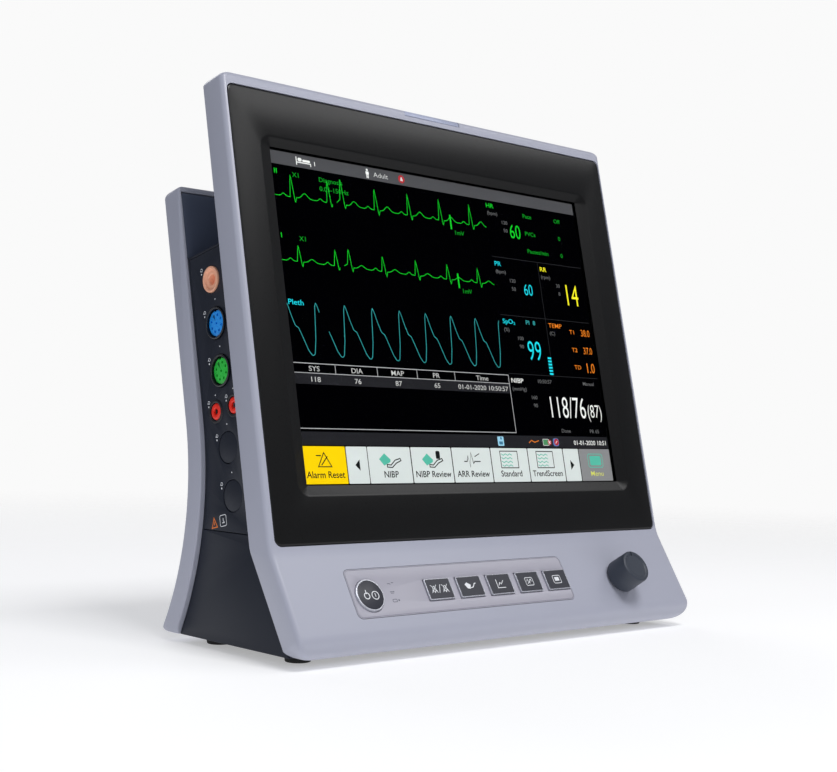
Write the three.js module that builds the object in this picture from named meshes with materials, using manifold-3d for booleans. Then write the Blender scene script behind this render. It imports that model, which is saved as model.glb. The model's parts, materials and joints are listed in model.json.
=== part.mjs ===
// Bedside patient monitor: a leaning display slab with a kicked-forward key panel, a dark
// connector housing behind it and a curved rear slab that carries the handle.
// Millimetres. X runs to the right of a person facing the screen, Y away from them, Z up.
// The origin is on the table, under the middle of the object's box.
import * as THREE from 'three';
import { mergeVertices } from 'three/addons/utils/BufferGeometryUtils.js';
import Module from 'manifold-3d';

const wasm = await Module();
wasm.setup();

// ---- Driving dimensions ----
const GAP = 0.3;                                    // clearance between pieces that meet
const WALL = 2.5;                                   // moulded wall thickness
const BASE_Z = 4.5;                                 // underside of the housings
const CENTRE_Y = 12.157;                            // screen centre to the middle of the depth
const SCREEN_Z = 179.9;                             // height of the screen centre
const SLAB_TILT = THREE.MathUtils.degToRad(12.84);  // the slab's lean from upright
const PANEL_TILT = THREE.MathUtils.degToRad(32.3);  // the key panel's lean from upright

const SLAB = { halfWidth: 153.4, top: 131.5, fold: -126.6, thick: 17.8 };
const FOOT_SLAB = { thick: 16.1, thickAt40: 19.1, nose: 8.5, heel: 6, corner: 12, sole: 10 };
const LCD = { width: 245.76, height: 184.32 };      // 12.1 inch, 4:3
const BEZEL = { halfWidth: 149.7, halfHeight: 124, thick: 3, radius: 4 };
const POCKET_DEPTH = BEZEL.thick + GAP;
const FLANGE_BACK = POCKET_DEPTH + WALL;

// Plates on the slab, as x and y half-sizes with back and front heights.
const TOUCH = { halfWidth: 127.6, halfHeight: 96.6, back: -4.9, front: -3.3 };
const TOUCH_OPENING = { halfWidth: 128, halfHeight: 97 };
const CELL = { halfWidth: 130.5, halfHeight: 99.5, back: -8.6, front: -6.1 };
const TRAY = { halfWidth: 132, halfHeight: 101, back: -14.4, front: -6.1, floor: 1 };
const BACK_COVER = { x: [-150.5, 150.5], y: [-121, 128.7], z: [-17.6, -15.1] };
const LENS = { halfWidth: 22, low: 127.4, back: 6.4, radius: 3.6 };

const REAR = { halfWidth: 150, top: 85.4, depth: 70.4, thick: 14, waistV: -45.5, waistR: 157 };
const REAR_RIM = 3.2;                               // bright edge around the handle plate
const SLOT = { halfWidth: 58, low: 48.5, high: 71, radius: 9 };       // the handle's hand slot
const VENTS = { pitch: 6, height: 2.6, rows: 6, x0: -84, x1: -8, speakerX: 96, speakerHalf: 20 };
const PORTS = { x0: -92, x1: 52, z0: 62, z1: 102, plateY: 49, plateThick: 2 };
const MID = { halfWidth: 147, top: 43 };
const MID_FRONT = SLAB.thick + GAP;                 // depths behind the bezel face
const MID_REAR = REAR.depth - REAR.thick - GAP;

const KEY = { x: -51.8, pitch: 23.2, y: -27, width: 18.2, height: 12.2, rise: 1.2, back: -5 };
const LIP = { reach: 1, back: -4.2, front: -WALL - GAP - 0.1 };       // holds a key behind the wall
const POWER = { x: -100.5, y: -27.5, radius: 9, rise: 1.3 };
const KNOB = { x: 96, y: -29, radius: 10, baseRadius: 10.2, base: 1.1, top: 16.4, boreTop: 13 };
const ENCODER = { half: 7, back: -12, front: -2.8, bushR: 4.3, shaftR: 3, rotorR: 5 };
const OVERLAY = { x0: -112.2, x1: 51, y0: -39.6, y1: -12.2, pocket: 1.1, thick: 0.9 };

// The connector panel and its ports; y is up the slab, body is a port's radius in the panel.
const CONNECTOR = { low: 63, top: 41.4, margin: 1.6, thick: 2.4 };
const CUP_RADIUS = 8.7;
const SOCKETS = [
  { name: 'nibp_port', y: 25.4, depth: 36, body: 7.2 },
  { name: 'spo2', y: 0.9, depth: 35.4, body: CUP_RADIUS },
  { name: 'ecg', y: -25.2, depth: 35.4, body: CUP_RADIUS },
  { name: 'ibp_socket_rear', y: -45.7, depth: 43.4, body: 4.6 },
  { name: 'ibp_socket_front', y: -45.7, depth: 27, body: 4.6 },
  { name: 'blank_plug_upper', y: -66.4, depth: 36, body: 8.4 },
  { name: 'blank_plug_lower', y: -92.2, depth: 36, body: 8.4 }];

// The recorder and battery bay in the right wall; the recorder's y and depths are the slab's.
const DOOR = { thick: 2.4, gap: 0.5, grip: 1.6 };
const RECORDER = { low: -38, high: 28, near: 20.5, far: 54, hingeDepth: 51.6 };
const RELEASE = { low: 32, high: 38, near: 32, far: 46, rise: 1.2 };
const ROLL = { x: 114, z: -37, radius: 12.5, coreR: 5.2, low: -34.6, high: 15.4 };
const PLATEN = { x: 136.5, z: -29, radius: 4.6, boreR: 1.5, low: -33, high: 14.4 };
const BATTERY = { y0: -6, y1: 40, z0: 11, z1: 51 };
const LATCH = { y0: 9.4, y1: 24.6, z0: 54, z1: 60.6, travel: 3, rise: 1.3 };

// Rear ports: centres across the plate and their heights.
const INLET = { x0: -84, x1: -56, z0: 72, z1: 92, inner: 26, wall: 2, pinHalf: [1, 2] };
const POST = { x: -38, z: 82, radius: 3, nutR: 5.6, inner: 40, rise: 3.6 };
const LAN = { x0: -20, x1: -4, z0: 75, z1: 89, inner: 30 };
const USB = { x0: 12, x1: 26, z0: 78.5, z1: 85.5, inner: 34, wall: 0.6 };
const FOOT = { topR: 7.4, bottomR: 6.6, height: BASE_Z - GAP };

// ---- Frames ----
const monitor = new THREE.Group();
monitor.position.y = -CENTRE_Y;

// On the slab, x is right, y is up the screen and z is out of the bezel's face.
const slab = new THREE.Group();
slab.position.z = SCREEN_Z;
slab.rotation.x = Math.PI / 2 - SLAB_TILT;
monitor.add(slab);

// On the key panel, y is up the panel and z is out of it; the origin is on the fold.
const panel = new THREE.Group();
const [foldY, foldZ] = slabPoint(SLAB.fold, 0);
panel.position.set(0, foldY, foldZ);
panel.rotation.x = Math.PI / 2 - PANEL_TILT;
monitor.add(panel);
slab.updateMatrix();
panel.updateMatrix();

// A point in the side view, [y, z], from its place up the slab and its depth behind the bezel.
function slabPoint(v, depth) {
  const [sin, cos] = [Math.sin(SLAB_TILT), Math.cos(SLAB_TILT)];
  return [v * sin + depth * cos, SCREEN_Z + v * cos - depth * sin];
}

// The same from a place down the key panel and a depth behind it.
function panelPoint(down, depth) {
  const [sin, cos] = [Math.sin(PANEL_TILT), Math.cos(PANEL_TILT)];
  return [foldY - down * sin + depth * cos, foldZ - down * cos - depth * sin];
}

// ---- Solids and booleans ----
function solidOf(geometry) {
  const bare = geometry.clone();
  bare.deleteAttribute('normal');
  bare.deleteAttribute('uv');
  const merged = mergeVertices(bare, 1e-4);
  const vertProperties = new Float32Array(merged.attributes.position.array);
  const triVerts = new Uint32Array(merged.index.array);
  return new wasm.Manifold(new wasm.Mesh({ numProp: 3, vertProperties, triVerts }));
}

function geometryOf(solid) {
  const { vertProperties, triVerts } = solid.getMesh();
  const geometry = new THREE.BufferGeometry();
  geometry.setAttribute('position', new THREE.BufferAttribute(vertProperties, 3));
  geometry.setIndex(new THREE.BufferAttribute(triVerts, 1));
  geometry.computeVertexNormals();
  return geometry;
}

function join(...geometries) {
  return geometryOf(geometries.map(solidOf).reduce((whole, next) => whole.add(next)));
}

function cut(base, ...tools) {
  return geometryOf(tools.map(solidOf).reduce((rest, tool) => rest.subtract(tool), solidOf(base)));
}

// ---- Basic shapes ----
function block([x0, x1], [y0, y1], [z0, z1]) {
  const box = new THREE.BoxGeometry(x1 - x0, y1 - y0, z1 - z0);
  return box.translate((x0 + x1) / 2, (y0 + y1) / 2, (z0 + z1) / 2);
}

function across(half) {
  return [-half, half];
}

function roundedRect(x0, x1, y0, y1, radius) {
  const shape = new THREE.Shape();
  shape.absarc(x1 - radius, y0 + radius, radius, -Math.PI / 2, 0);
  shape.absarc(x1 - radius, y1 - radius, radius, 0, Math.PI / 2);
  shape.absarc(x0 + radius, y1 - radius, radius, Math.PI / 2, Math.PI);
  shape.absarc(x0 + radius, y0 + radius, radius, Math.PI, 1.5 * Math.PI);
  shape.closePath();
  return shape;
}

// A flat piece of the given outline between two heights, with an optional rounded edge.
function plate(shape, z0, z1, edge = 0, curveSegments = 4) {
  const options = { depth: z1 - z0 - 2 * edge, curveSegments, bevelEnabled: edge > 0 };
  Object.assign(options, { bevelThickness: edge, bevelSize: edge, bevelOffset: -edge });
  options.bevelSegments = 2;
  return new THREE.ExtrudeGeometry(shape, options).translate(0, 0, z0 + edge);
}

function rod(radius, z0, z1, x = 0, y = 0, segments = 24) {
  const cylinder = new THREE.CylinderGeometry(radius, radius, z1 - z0, segments);
  return cylinder.rotateX(Math.PI / 2).translate(x, y, (z0 + z1) / 2);
}

function rodAlongX(radius, x0, x1, y = 0, z = 0, segments = 24) {
  const cylinder = new THREE.CylinderGeometry(radius, radius, x1 - x0, segments);
  return cylinder.rotateZ(-Math.PI / 2).translate((x0 + x1) / 2, y, z);
}

function rodAlongY(radius, y0, y1, x = 0, z = 0, segments = 24) {
  const cylinder = new THREE.CylinderGeometry(radius, radius, y1 - y0, segments);
  return cylinder.translate(x, (y0 + y1) / 2, z);
}

// A turned piece about the local X axis; points are [distance along X, radius].
function turnedAlongX(points, segments = 24) {
  const profile = points.map(([x, r]) => new THREE.Vector2(r, x));
  return new THREE.LatheGeometry([...profile, profile[0]], segments).rotateZ(-Math.PI / 2);
}

// A side-view outline of [y, z] points, drawn out from x0 to x1.
function sideProfile(points, x0, x1) {
  const shape = new THREE.Shape(points.map(([y, z]) => new THREE.Vector2(y, z)));
  const geometry = new THREE.ExtrudeGeometry(shape, { depth: x1 - x0, bevelEnabled: false });
  const axes = new THREE.Matrix4().makeBasis(
    new THREE.Vector3(0, 1, 0), new THREE.Vector3(0, 0, 1), new THREE.Vector3(1, 0, 0));
  return geometry.applyMatrix4(axes).translate(x0, 0, 0);
}

function add(group, name, geometry, material) {
  const mesh = new THREE.Mesh(geometry, material);
  mesh.name = name;
  group.add(mesh);
  return mesh;
}

// ---- Lofted slabs ----
// Points of a round of the given radius between the lines a-corner and corner-b.
function fillet(a, corner, b, radius, steps) {
  const at = new THREE.Vector2(...corner);
  const toA = new THREE.Vector2(...a).sub(at).normalize();
  const toB = new THREE.Vector2(...b).sub(at).normalize();
  const half = Math.acos(toA.dot(toB)) / 2;
  const centre = toA.clone().add(toB).normalize().multiplyScalar(radius / Math.sin(half)).add(at);
  const start = toA.clone().multiplyScalar(radius / Math.tan(half)).add(at);
  const turn = (Math.PI - 2 * half) * Math.sign(toB.cross(toA));
  const points = [];
  for (let i = 0; i <= steps; i += 1) {
    const p = start.clone().rotateAround(centre, turn * i / steps);
    points.push([p.x, p.y]);
  }
  return points;
}

// Quarter-round shortfall of an edge of the given radius, at a distance from its end.
function inset(radius, distance) {
  if (distance >= radius) return 0;
  return radius - Math.sqrt(Math.max(0, radius ** 2 - (radius - distance) ** 2));
}

// One ring of a slab: a rounded rectangle from the front point to the back point.
function slabRing(front, back, halfWidth, frontEdge, backEdge) {
  const length = Math.hypot(back[0] - front[0], back[1] - front[1]);
  const fit = Math.min(1, 0.98 * length / (frontEdge + backEdge));
  const steps = 3;
  const ring = [];
  const corners = [
    [1, frontEdge * fit, 0], [1, backEdge * fit, 1], [-1, backEdge * fit, 2], [-1, frontEdge * fit, 3]];
  for (const [side, radius, quarter] of corners) {
    const cx = side * (halfWidth - radius);
    const cd = quarter === 0 || quarter === 3 ? radius : length - radius;
    for (let i = 0; i <= steps; i += 1) {
      const angle = (quarter - 1 + i / steps) * Math.PI / 2;
      const x = cx + radius * Math.cos(angle);
      const t = (cd + radius * Math.sin(angle)) / length;
      ring.push([x, front[0] + t * (back[0] - front[0]), front[1] + t * (back[1] - front[1])]);
    }
  }
  return ring;
}

// Skins the rings of a slab, whose front and back outlines run from its top to its bottom.
// squeeze(z) is how far the sides draw in at a height, which rounds the outer corners.
function loftedSlab(front, back, halfWidth, frontEdge, backEdge, squeeze) {
  const rings = front.map((p, i) => slabRing(p, back[i], halfWidth, frontEdge, backEdge));
  const count = rings[0].length;
  const positions = rings.flat().flatMap(([x, y, z]) => [x * (1 - squeeze(y, z) / halfWidth), y, z]);
  const index = [];
  for (let r = 0; r + 1 < rings.length; r += 1) {
    for (let i = 0; i < count; i += 1) {
      const a = r * count + i;
      const b = r * count + (i + 1) % count;
      index.push(a, a + count, b, b, a + count, b + count);
    }
  }
  const last = (rings.length - 1) * count;
  for (let i = 1; i + 1 < count; i += 1) {
    index.push(0, i, i + 1);
    index.push(last, last + i + 1, last + i);
  }
  const geometry = new THREE.BufferGeometry();
  geometry.setAttribute('position', new THREE.BufferAttribute(new Float32Array(positions), 3));
  geometry.setIndex(index);
  return geometry;
}

// ---- Materials ----
function finish(color, roughness, metalness = 0) {
  return new THREE.MeshStandardMaterial({ color, roughness, metalness });
}
const shellGrey = finish(0xa9acc0, 0.5);
const bezelBlack = finish(0x1d1d1f, 0.35);
const navy = finish(0x2b313d, 0.55);
const glassy = finish(0x10141a, 0.05);
const silver = finish(0xb8bcc4, 0.35, 0.9);
const overlayGrey = finish(0xb4b2bf, 0.45);
const keyDark = finish(0x33353f, 0.4);
const boardGreen = finish(0x1d5a3a, 0.6);
const rubberBlack = finish(0x17181a, 0.9);
const peach = finish(0xd98f72, 0.45);
const portBlue = finish(0x2f7fc4, 0.4);
const portGreen = finish(0x2fa04a, 0.4);
const portRed = finish(0xd33527, 0.4);
const paper = finish(0xf2f2ee, 0.9);
const brass = finish(0xc9a44c, 0.35, 0.9);

// ---- Front housing ----
const panelBottom = (foldZ - BASE_Z) / Math.cos(PANEL_TILT);
const frontBackFold = lineCross(slabPoint(0, SLAB.thick), slabPoint(-100, SLAB.thick), ...footBack(0));
const frontBackFoot = lineCross(...footBack(0), [0, BASE_Z], [-50, BASE_Z]);

// The back of the key panel's slab, which thickens towards the foot, moved back by a gap.
function footBack(gap) {
  return [panelPoint(0, FOOT_SLAB.thick + gap), panelPoint(40, FOOT_SLAB.thickAt40 + gap)];
}

// Where the line a-b meets the line c-d.
function lineCross(a, b, c, d) {
  const ab = [b[0] - a[0], b[1] - a[1]];
  const cd = [d[0] - c[0], d[1] - c[1]];
  const t = ((c[0] - a[0]) * cd[1] - (c[1] - a[1]) * cd[0]) / (ab[0] * cd[1] - ab[1] * cd[0]);
  return [a[0] + t * ab[0], a[1] + t * ab[1]];
}

function frontHousing() {
  const topMid = slabPoint(SLAB.top, SLAB.thick / 2);
  const topFront = slabPoint(SLAB.top, 0);
  const topBack = slabPoint(SLAB.top, SLAB.thick);
  const fold = slabPoint(SLAB.fold, 0);
  const nose = panelPoint(panelBottom, 0);
  const soleMid = [nose[0] + 0.755 * (frontBackFoot[0] - nose[0]), BASE_Z];
  const front = [
    ...fillet(topMid, topFront, fold, 3.6, 4),
    ...fillet(topFront, fold, nose, 30, 3),
    ...fillet(fold, nose, soleMid, FOOT_SLAB.nose, 5)];
  const back = [
    ...fillet(topMid, topBack, frontBackFold, 4, 4),
    ...fillet(topBack, frontBackFold, frontBackFoot, 16, 3),
    ...fillet(frontBackFold, frontBackFoot, soleMid, FOOT_SLAB.heel, 5)];
  const topZ = slabPoint(SLAB.top, 0)[1];
  const topCorner = 7;
  const squeeze = (y, z) => {
    const fromTop = (topZ - z) / Math.cos(SLAB_TILT) - (y - topFront[0]) * Math.sin(SLAB_TILT);
    return inset(topCorner, fromTop) + inset(FOOT_SLAB.corner, z - BASE_Z);
  };
  const outer = loftedSlab(front, back, SLAB.halfWidth, 3.2, 1.2, squeeze);
  const insideX = [-SLAB.halfWidth + WALL, SLAB.halfWidth - WALL];
  const pocketX = BEZEL.halfWidth + GAP;
  const pocketY = BEZEL.halfHeight + GAP;
  const pocket = roundedRect(-pocketX, pocketX, -pocketY, pocketY, BEZEL.radius + GAP);
  const slabCuts = [
    plate(pocket, -POCKET_DEPTH, 5),
    block(across(TOUCH_OPENING.halfWidth), across(TOUCH_OPENING.halfHeight), [-8, 1]),
    block(insideX, [-123.5, SLAB.top - WALL], [-25, -FLANGE_BACK]),
    block(across(LENS.halfWidth + GAP), [LENS.low - GAP, SLAB.top + 3], [-LENS.back - 0.6, 2])];
  const backLip = [-MID.halfWidth + WALL, MID.halfWidth - WALL];
  const hollow = join(block(insideX, [-70, 5.5], [-FOOT_SLAB.thick + WALL, -WALL]),
    block(backLip, [-70, 5.5], [-30, -WALL - 1]));
  const floor = block(across(200), across(200), [-60, BASE_Z + FOOT_SLAB.sole]);
  const panelCuts = [
    cut(hollow, floor.applyMatrix4(panel.matrix.clone().invert())),
    plate(roundedRect(OVERLAY.x0 - GAP, OVERLAY.x1 + GAP, OVERLAY.y0 - GAP, OVERLAY.y1 + GAP, 3.3),
      -OVERLAY.pocket, 2),
    rod(POWER.radius + GAP, -5, 2, POWER.x, POWER.y),
    rod(4.6, -5, 2, KNOB.x, KNOB.y)];
  for (const x of keyCentres()) {
    const w = KEY.width / 2 + GAP;
    const h = KEY.height / 2 + GAP;
    panelCuts.push(block([x - w, x + w], [KEY.y - h, KEY.y + h], [-5, 2]));
  }
  slabCuts.forEach((tool) => tool.applyMatrix4(slab.matrix));
  panelCuts.forEach((tool) => tool.applyMatrix4(panel.matrix));
  return cut(outer, ...slabCuts, ...panelCuts);
}

function keyCentres() {
  return [0, 1, 2, 3, 4].map((i) => KEY.x + i * KEY.pitch);
}

add(monitor, 'front_housing', frontHousing(), shellGrey);

// ---- Display stack ----
function displayBezel() {
  const edge = roundedRect(-BEZEL.halfWidth, BEZEL.halfWidth, -BEZEL.halfHeight, BEZEL.halfHeight,
    BEZEL.radius);
  const inner = [LCD.width / 2 + 0.7, LCD.height / 2 + 0.7];
  const outer = [LCD.width / 2 + 8.2, LCD.height / 2 + 5.7];
  const window = taperedOpening(inner, outer, -BEZEL.thick, 0);
  return cut(plate(edge, -BEZEL.thick, 0, 0.6), window);
}

// A rectangular opening that widens from the back to the front, run past both faces.
function taperedOpening([x0, y0], [x1, y1], z0, z1) {
  const over = 0.25;
  const grow = (low, high, t) => low + (high - low) * t;
  const positions = [];
  for (const t of [-over, 1 + over]) {
    const x = grow(x0, x1, t);
    const y = grow(y0, y1, t);
    const z = grow(z0, z1, t);
    positions.push(-x, -y, z, x, -y, z, x, y, z, -x, y, z);
  }
  const geometry = new THREE.BufferGeometry();
  geometry.setAttribute('position', new THREE.BufferAttribute(new Float32Array(positions), 3));
  geometry.setIndex([0, 2, 1, 0, 3, 2, 4, 5, 6, 4, 6, 7, 0, 1, 5, 0, 5, 4, 1, 2, 6, 1, 6, 5,
    2, 3, 7, 2, 7, 6, 3, 0, 4, 3, 4, 7]);
  return geometry;
}

add(slab, 'display_bezel', displayBezel(), bezelBlack);
function slabPlate({ halfWidth, halfHeight, back, front }, grow = 0) {
  return block(across(halfWidth + grow), across(halfHeight + grow), [back, front]);
}

add(slab, 'touch_panel', slabPlate(TOUCH), glassy);
add(slab, 'lcd_panel', slabPlate(CELL), bezelBlack);
const trayWell = slabPlate({ ...CELL, back: TRAY.back + TRAY.floor, front: 0 }, GAP);
add(slab, 'lcd_tray', cut(slabPlate(TRAY), trayWell), silver);
add(slab, 'slab_back_cover', block(BACK_COVER.x, BACK_COVER.y, BACK_COVER.z), navy);

// The alarm lens follows the housing's rounded top edge.
function alarmLens() {
  const proud = 0.1;
  const round = [0, 1, 2, 3].map((i) => {
    const angle = i * Math.PI / 6;
    const v = SLAB.top - LENS.radius + LENS.radius * Math.sin(angle);
    return [v, LENS.radius + proud - LENS.radius * Math.cos(angle)];
  });
  const outline = [[LENS.low, LENS.back], [LENS.low, proud], ...round, [SLAB.top, LENS.back]];
  return sideProfile(outline.map(([v, depth]) => slabPoint(v, depth)), -LENS.halfWidth, LENS.halfWidth);
}
add(monitor, 'alarm_lens', alarmLens(), glassy);
add(slab, 'alarm_board', block([-24, 24], [104, 128], [-8.3, -6.8]), boardGreen);

// ---- Key panel ----
function keyOverlay() {
  const outline = roundedRect(OVERLAY.x0, OVERLAY.x1, OVERLAY.y0, OVERLAY.y1, 3);
  const front = -OVERLAY.pocket + GAP + OVERLAY.thick;
  const holes = keyCentres().map((x) => {
    const w = KEY.width / 2 + GAP;
    const h = KEY.height / 2 + GAP;
    return block([x - w, x + w], [KEY.y - h, KEY.y + h], [-3, 2]);
  });
  const powerHole = rod(POWER.radius + GAP, -3, 2, POWER.x, POWER.y);
  return cut(plate(outline, front - OVERLAY.thick, front), powerHole, ...holes);
}

// A key cap with the lip that holds it behind the panel wall.
function keyCap() {
  const cap = roundedRect(-KEY.width / 2, KEY.width / 2, -KEY.height / 2, KEY.height / 2, 1);
  const lip = block(across(KEY.width / 2 + LIP.reach), across(KEY.height / 2 + LIP.reach),
    [LIP.back, LIP.front]);
  return join(plate(cap, KEY.back, KEY.rise, 0.4, 2), lip);
}

add(panel, 'key_overlay', keyOverlay(), overlayGrey);
const keyNames = ['alarm_mute_key', 'cuff_key', 'trend_key', 'freeze_key', 'menu_key'];
keyCentres().forEach((x, i) => {
  add(panel, keyNames[i], keyCap(), keyDark).position.set(x, KEY.y, 0);
});
const powerButton = join(rod(POWER.radius, KEY.back, POWER.rise),
  rod(POWER.radius + LIP.reach, LIP.back, LIP.front));
add(panel, 'power_button', powerButton, keyDark).position.set(POWER.x, POWER.y, 0);
add(panel, 'key_board', block([-114, 56], [-42, -12], [-7.8, -6.2]), boardGreen);

// ---- Rotary knob: encoder body, rotor, shaft and cap on one axis ----
function encoderBody() {
  const can = block(across(ENCODER.half), across(ENCODER.half), [ENCODER.back, ENCODER.front]);
  const bush = rod(ENCODER.bushR, ENCODER.front - 0.7, 0.1);
  return cut(join(can, bush), rod(ENCODER.shaftR + 0.4, -14, 2), rod(ENCODER.rotorR + 0.4, -10.8, -5.4));
}
function encoderRotor() {
  return cut(rod(ENCODER.rotorR, -10, -5.9), rod(ENCODER.shaftR + GAP, -14, 2));
}
function knobCap() {
  const side = [[KNOB.base, 0], [KNOB.base, KNOB.baseRadius - 0.8], [KNOB.base + 0.8, KNOB.baseRadius],
    [KNOB.top - 1.2, KNOB.radius], [KNOB.top - 0.35, KNOB.radius - 0.35], [KNOB.top, KNOB.radius - 1.2],
    [KNOB.top, 8], [KNOB.top - 0.6, 7.4], [KNOB.top - 0.6, 0]];
  const turned = turnedAlongX(side, 36).rotateY(-Math.PI / 2);
  return cut(turned, rod(ENCODER.shaftR + GAP, KNOB.base - 1, KNOB.boreTop));
}
for (const [name, geometry, material] of [
  ['encoder_body', encoderBody(), silver],
  ['encoder_rotor', encoderRotor(), brass],
  ['encoder_shaft', rod(ENCODER.shaftR, ENCODER.back + 1, KNOB.boreTop - GAP), silver],
  ['control_knob', knobCap(), keyDark]]) {
  add(panel, name, geometry, material).position.set(KNOB.x, KNOB.y, 0);
}

// ---- Rear slab ----
const [waistY, waistZ] = slabPoint(REAR.waistV, REAR.depth + REAR.waistR);

// Points of the waist's arc, from the straight slab down to a height.
function waistArc(radius, zEnd, steps) {
  const first = -SLAB_TILT;
  const last = Math.asin((waistZ - zEnd) / radius);
  return Array.from({ length: steps + 1 }, (_, i) => {
    const angle = first + (last - first) * i / steps;
    return [waistY - radius * Math.cos(angle), waistZ - radius * Math.sin(angle)];
  });
}

function rearHousing() {
  const frontDepth = REAR.depth - REAR.thick;
  const frontR = REAR.waistR + REAR.thick;
  const middle = slabPoint(REAR.top, REAR.depth - REAR.thick / 2);
  const backArc = waistArc(REAR.waistR, BASE_Z, 12);
  const frontArc = waistArc(frontR, BASE_Z, 12);
  const soleMid = [(backArc[12][0] + frontArc[12][0]) / 2, BASE_Z];
  const back = [
    ...fillet(middle, slabPoint(REAR.top, REAR.depth), backArc[0], 4.5, 4),
    ...backArc.slice(0, 12),
    ...fillet(backArc[11], backArc[12], soleMid, 2.5, 3)];
  const front = [
    ...fillet(middle, slabPoint(REAR.top, frontDepth), frontArc[0], 1, 4),
    ...frontArc.slice(0, 12),
    ...fillet(frontArc[11], frontArc[12], soleMid, 0.6, 3)];
  const [topY, topZ] = slabPoint(REAR.top, REAR.depth);
  const squeeze = (y, z) => {
    const fromTop = (topZ - z) * Math.cos(SLAB_TILT) - (y - topY) * Math.sin(SLAB_TILT);
    return inset(5, Math.max(0, fromTop)) + inset(3, z - BASE_Z);
  };
  const outer = loftedSlab(front, back, REAR.halfWidth, 1, 3.2, squeeze);
  const cavity = sideProfile([
    slabPoint(REAR.top - REAR_RIM, 40), slabPoint(REAR.top - REAR_RIM, REAR.depth - WALL),
    ...waistArc(REAR.waistR + WALL, BASE_Z + WALL, 12), [0, BASE_Z + WALL]],
    -REAR.halfWidth + REAR_RIM, REAR.halfWidth - REAR_RIM);
  const post = block([-SLOT.halfWidth - WALL, SLOT.halfWidth + WALL], [SLOT.low - WALL, SLOT.high + WALL],
    [-90, -frontDepth - REAR_RIM]).applyMatrix4(slab.matrix);
  const slot = handSlot().applyMatrix4(slab.matrix);
  const collar = block([PORTS.x0 - WALL, PORTS.x1 + WALL], [PORTS.plateY + GAP, 90],
    [PORTS.z0 - WALL, PORTS.z1 + WALL]);
  const portWindow = block([PORTS.x0, PORTS.x1], [PORTS.plateY - 9, 90], [PORTS.z0, PORTS.z1]);
  return cut(outer, cut(cavity, post, collar), slot, portWindow, ...rearVents());
}

function handSlot() {
  const outline = roundedRect(-SLOT.halfWidth, SLOT.halfWidth, SLOT.low, SLOT.high, SLOT.radius);
  return plate(outline, -90, -40);
}

// Rows of cooling slots across the rear slab, and a round group of short ones for the speaker.
function rearVents() {
  const vent = (x0, x1, low) => {
    const outline = roundedRect(x0, x1, low, low + VENTS.height, 1.2);
    return plate(outline, -90, -60, 0, 2).applyMatrix4(slab.matrix);
  };
  return Array.from({ length: VENTS.rows }, (_, row) => {
    const half = VENTS.speakerHalf * Math.cos((row - (VENTS.rows - 1) / 2) * 0.42);
    return [
      vent(VENTS.x0, VENTS.x1, row * VENTS.pitch),
      vent(VENTS.speakerX - half, VENTS.speakerX + half, row * VENTS.pitch)];
  }).flat();
}

add(monitor, 'rear_housing', rearHousing(), shellGrey);

function handlePlate() {
  const frontDepth = REAR.depth - REAR.thick;
  const half = REAR.halfWidth - REAR_RIM - 0.4;
  const outline = roundedRect(-half, half, MID.top + GAP, REAR.top - REAR_RIM - 0.4, 2);
  return cut(plate(outline, -frontDepth - 2.8, -frontDepth - 0.6), handSlot());
}
add(slab, 'handle_plate', handlePlate(), navy);

// ---- Mid housing ----
const midFrontFold = lineCross(slabPoint(0, MID_FRONT), slabPoint(-100, MID_FRONT), ...footBack(GAP));
const midFrontFoot = lineCross(...footBack(GAP), [0, BASE_Z], [-50, BASE_Z]);

function connectorOutline(grow) {
  const near = MID_FRONT + CONNECTOR.margin - grow;
  const far = MID_REAR - CONNECTOR.margin + grow;
  const farR = REAR.waistR + REAR.depth - far;
  const low = CONNECTOR.low - grow;
  const nearLine = [slabPoint(0, near), slabPoint(-100, near)];
  return [
    slabPoint(CONNECTOR.top + grow, near), lineCross(...nearLine, [0, low], [50, low]),
    ...waistArc(farR, low, 8).reverse(), slabPoint(CONNECTOR.top + grow, far)];
}

function midHousing() {
  const rearR = REAR.waistR + REAR.depth - MID_REAR;
  const outline = [
    slabPoint(MID.top, MID_FRONT), midFrontFold, midFrontFoot,
    ...waistArc(rearR, BASE_Z, 14).reverse(), slabPoint(MID.top, MID_REAR)];
  const hollow = [
    slabPoint(MID.top - WALL, -20), [-90, BASE_Z + WALL], [120, BASE_Z + WALL],
    slabPoint(MID.top - WALL, 100)];
  const half = MID.halfWidth;
  const outer = sideProfile(outline, -half, half);
  const inner = sideProfile(hollow, -half + WALL, half - WALL);
  const panelWindow = sideProfile(connectorOutline(GAP), -half - 5, -half + WALL + 1);
  const wall = [half - WALL - 1, half + 5];
  const doorWindow = block(wall, [RECORDER.low, RECORDER.high], [-RECORDER.far, -RECORDER.near]);
  const releaseHole = block(wall, [RELEASE.low - GAP, RELEASE.high + GAP],
    [-RELEASE.far - GAP, -RELEASE.near + GAP]);
  const batteryWindow = block(wall, [BATTERY.y0, BATTERY.y1], [BATTERY.z0, BATTERY.z1]);
  const latchWindow = block(wall, [LATCH.y0 - 0.4, LATCH.y1 + 0.4],
    [LATCH.z0 - 0.4, LATCH.z1 + LATCH.travel + 0.8]);
  return cut(outer, inner, panelWindow, doorWindow.applyMatrix4(slab.matrix),
    releaseHole.applyMatrix4(slab.matrix), batteryWindow, latchWindow);
}
add(monitor, 'mid_housing', midHousing(), navy);

// ---- Connector panel and its ports, on the slab's own lines ----
const PANEL_X = -MID.halfWidth;

function connectorPanel() {
  const skin = sideProfile(connectorOutline(0), PANEL_X, PANEL_X + CONNECTOR.thick);
  const holes = SOCKETS.map(({ y, depth, body }) =>
    rodAlongX(body + GAP, PANEL_X - 5, PANEL_X + 5, y, -depth).applyMatrix4(slab.matrix));
  return cut(skin, ...holes);
}
add(monitor, 'connector_panel', connectorPanel(), navy);

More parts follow.
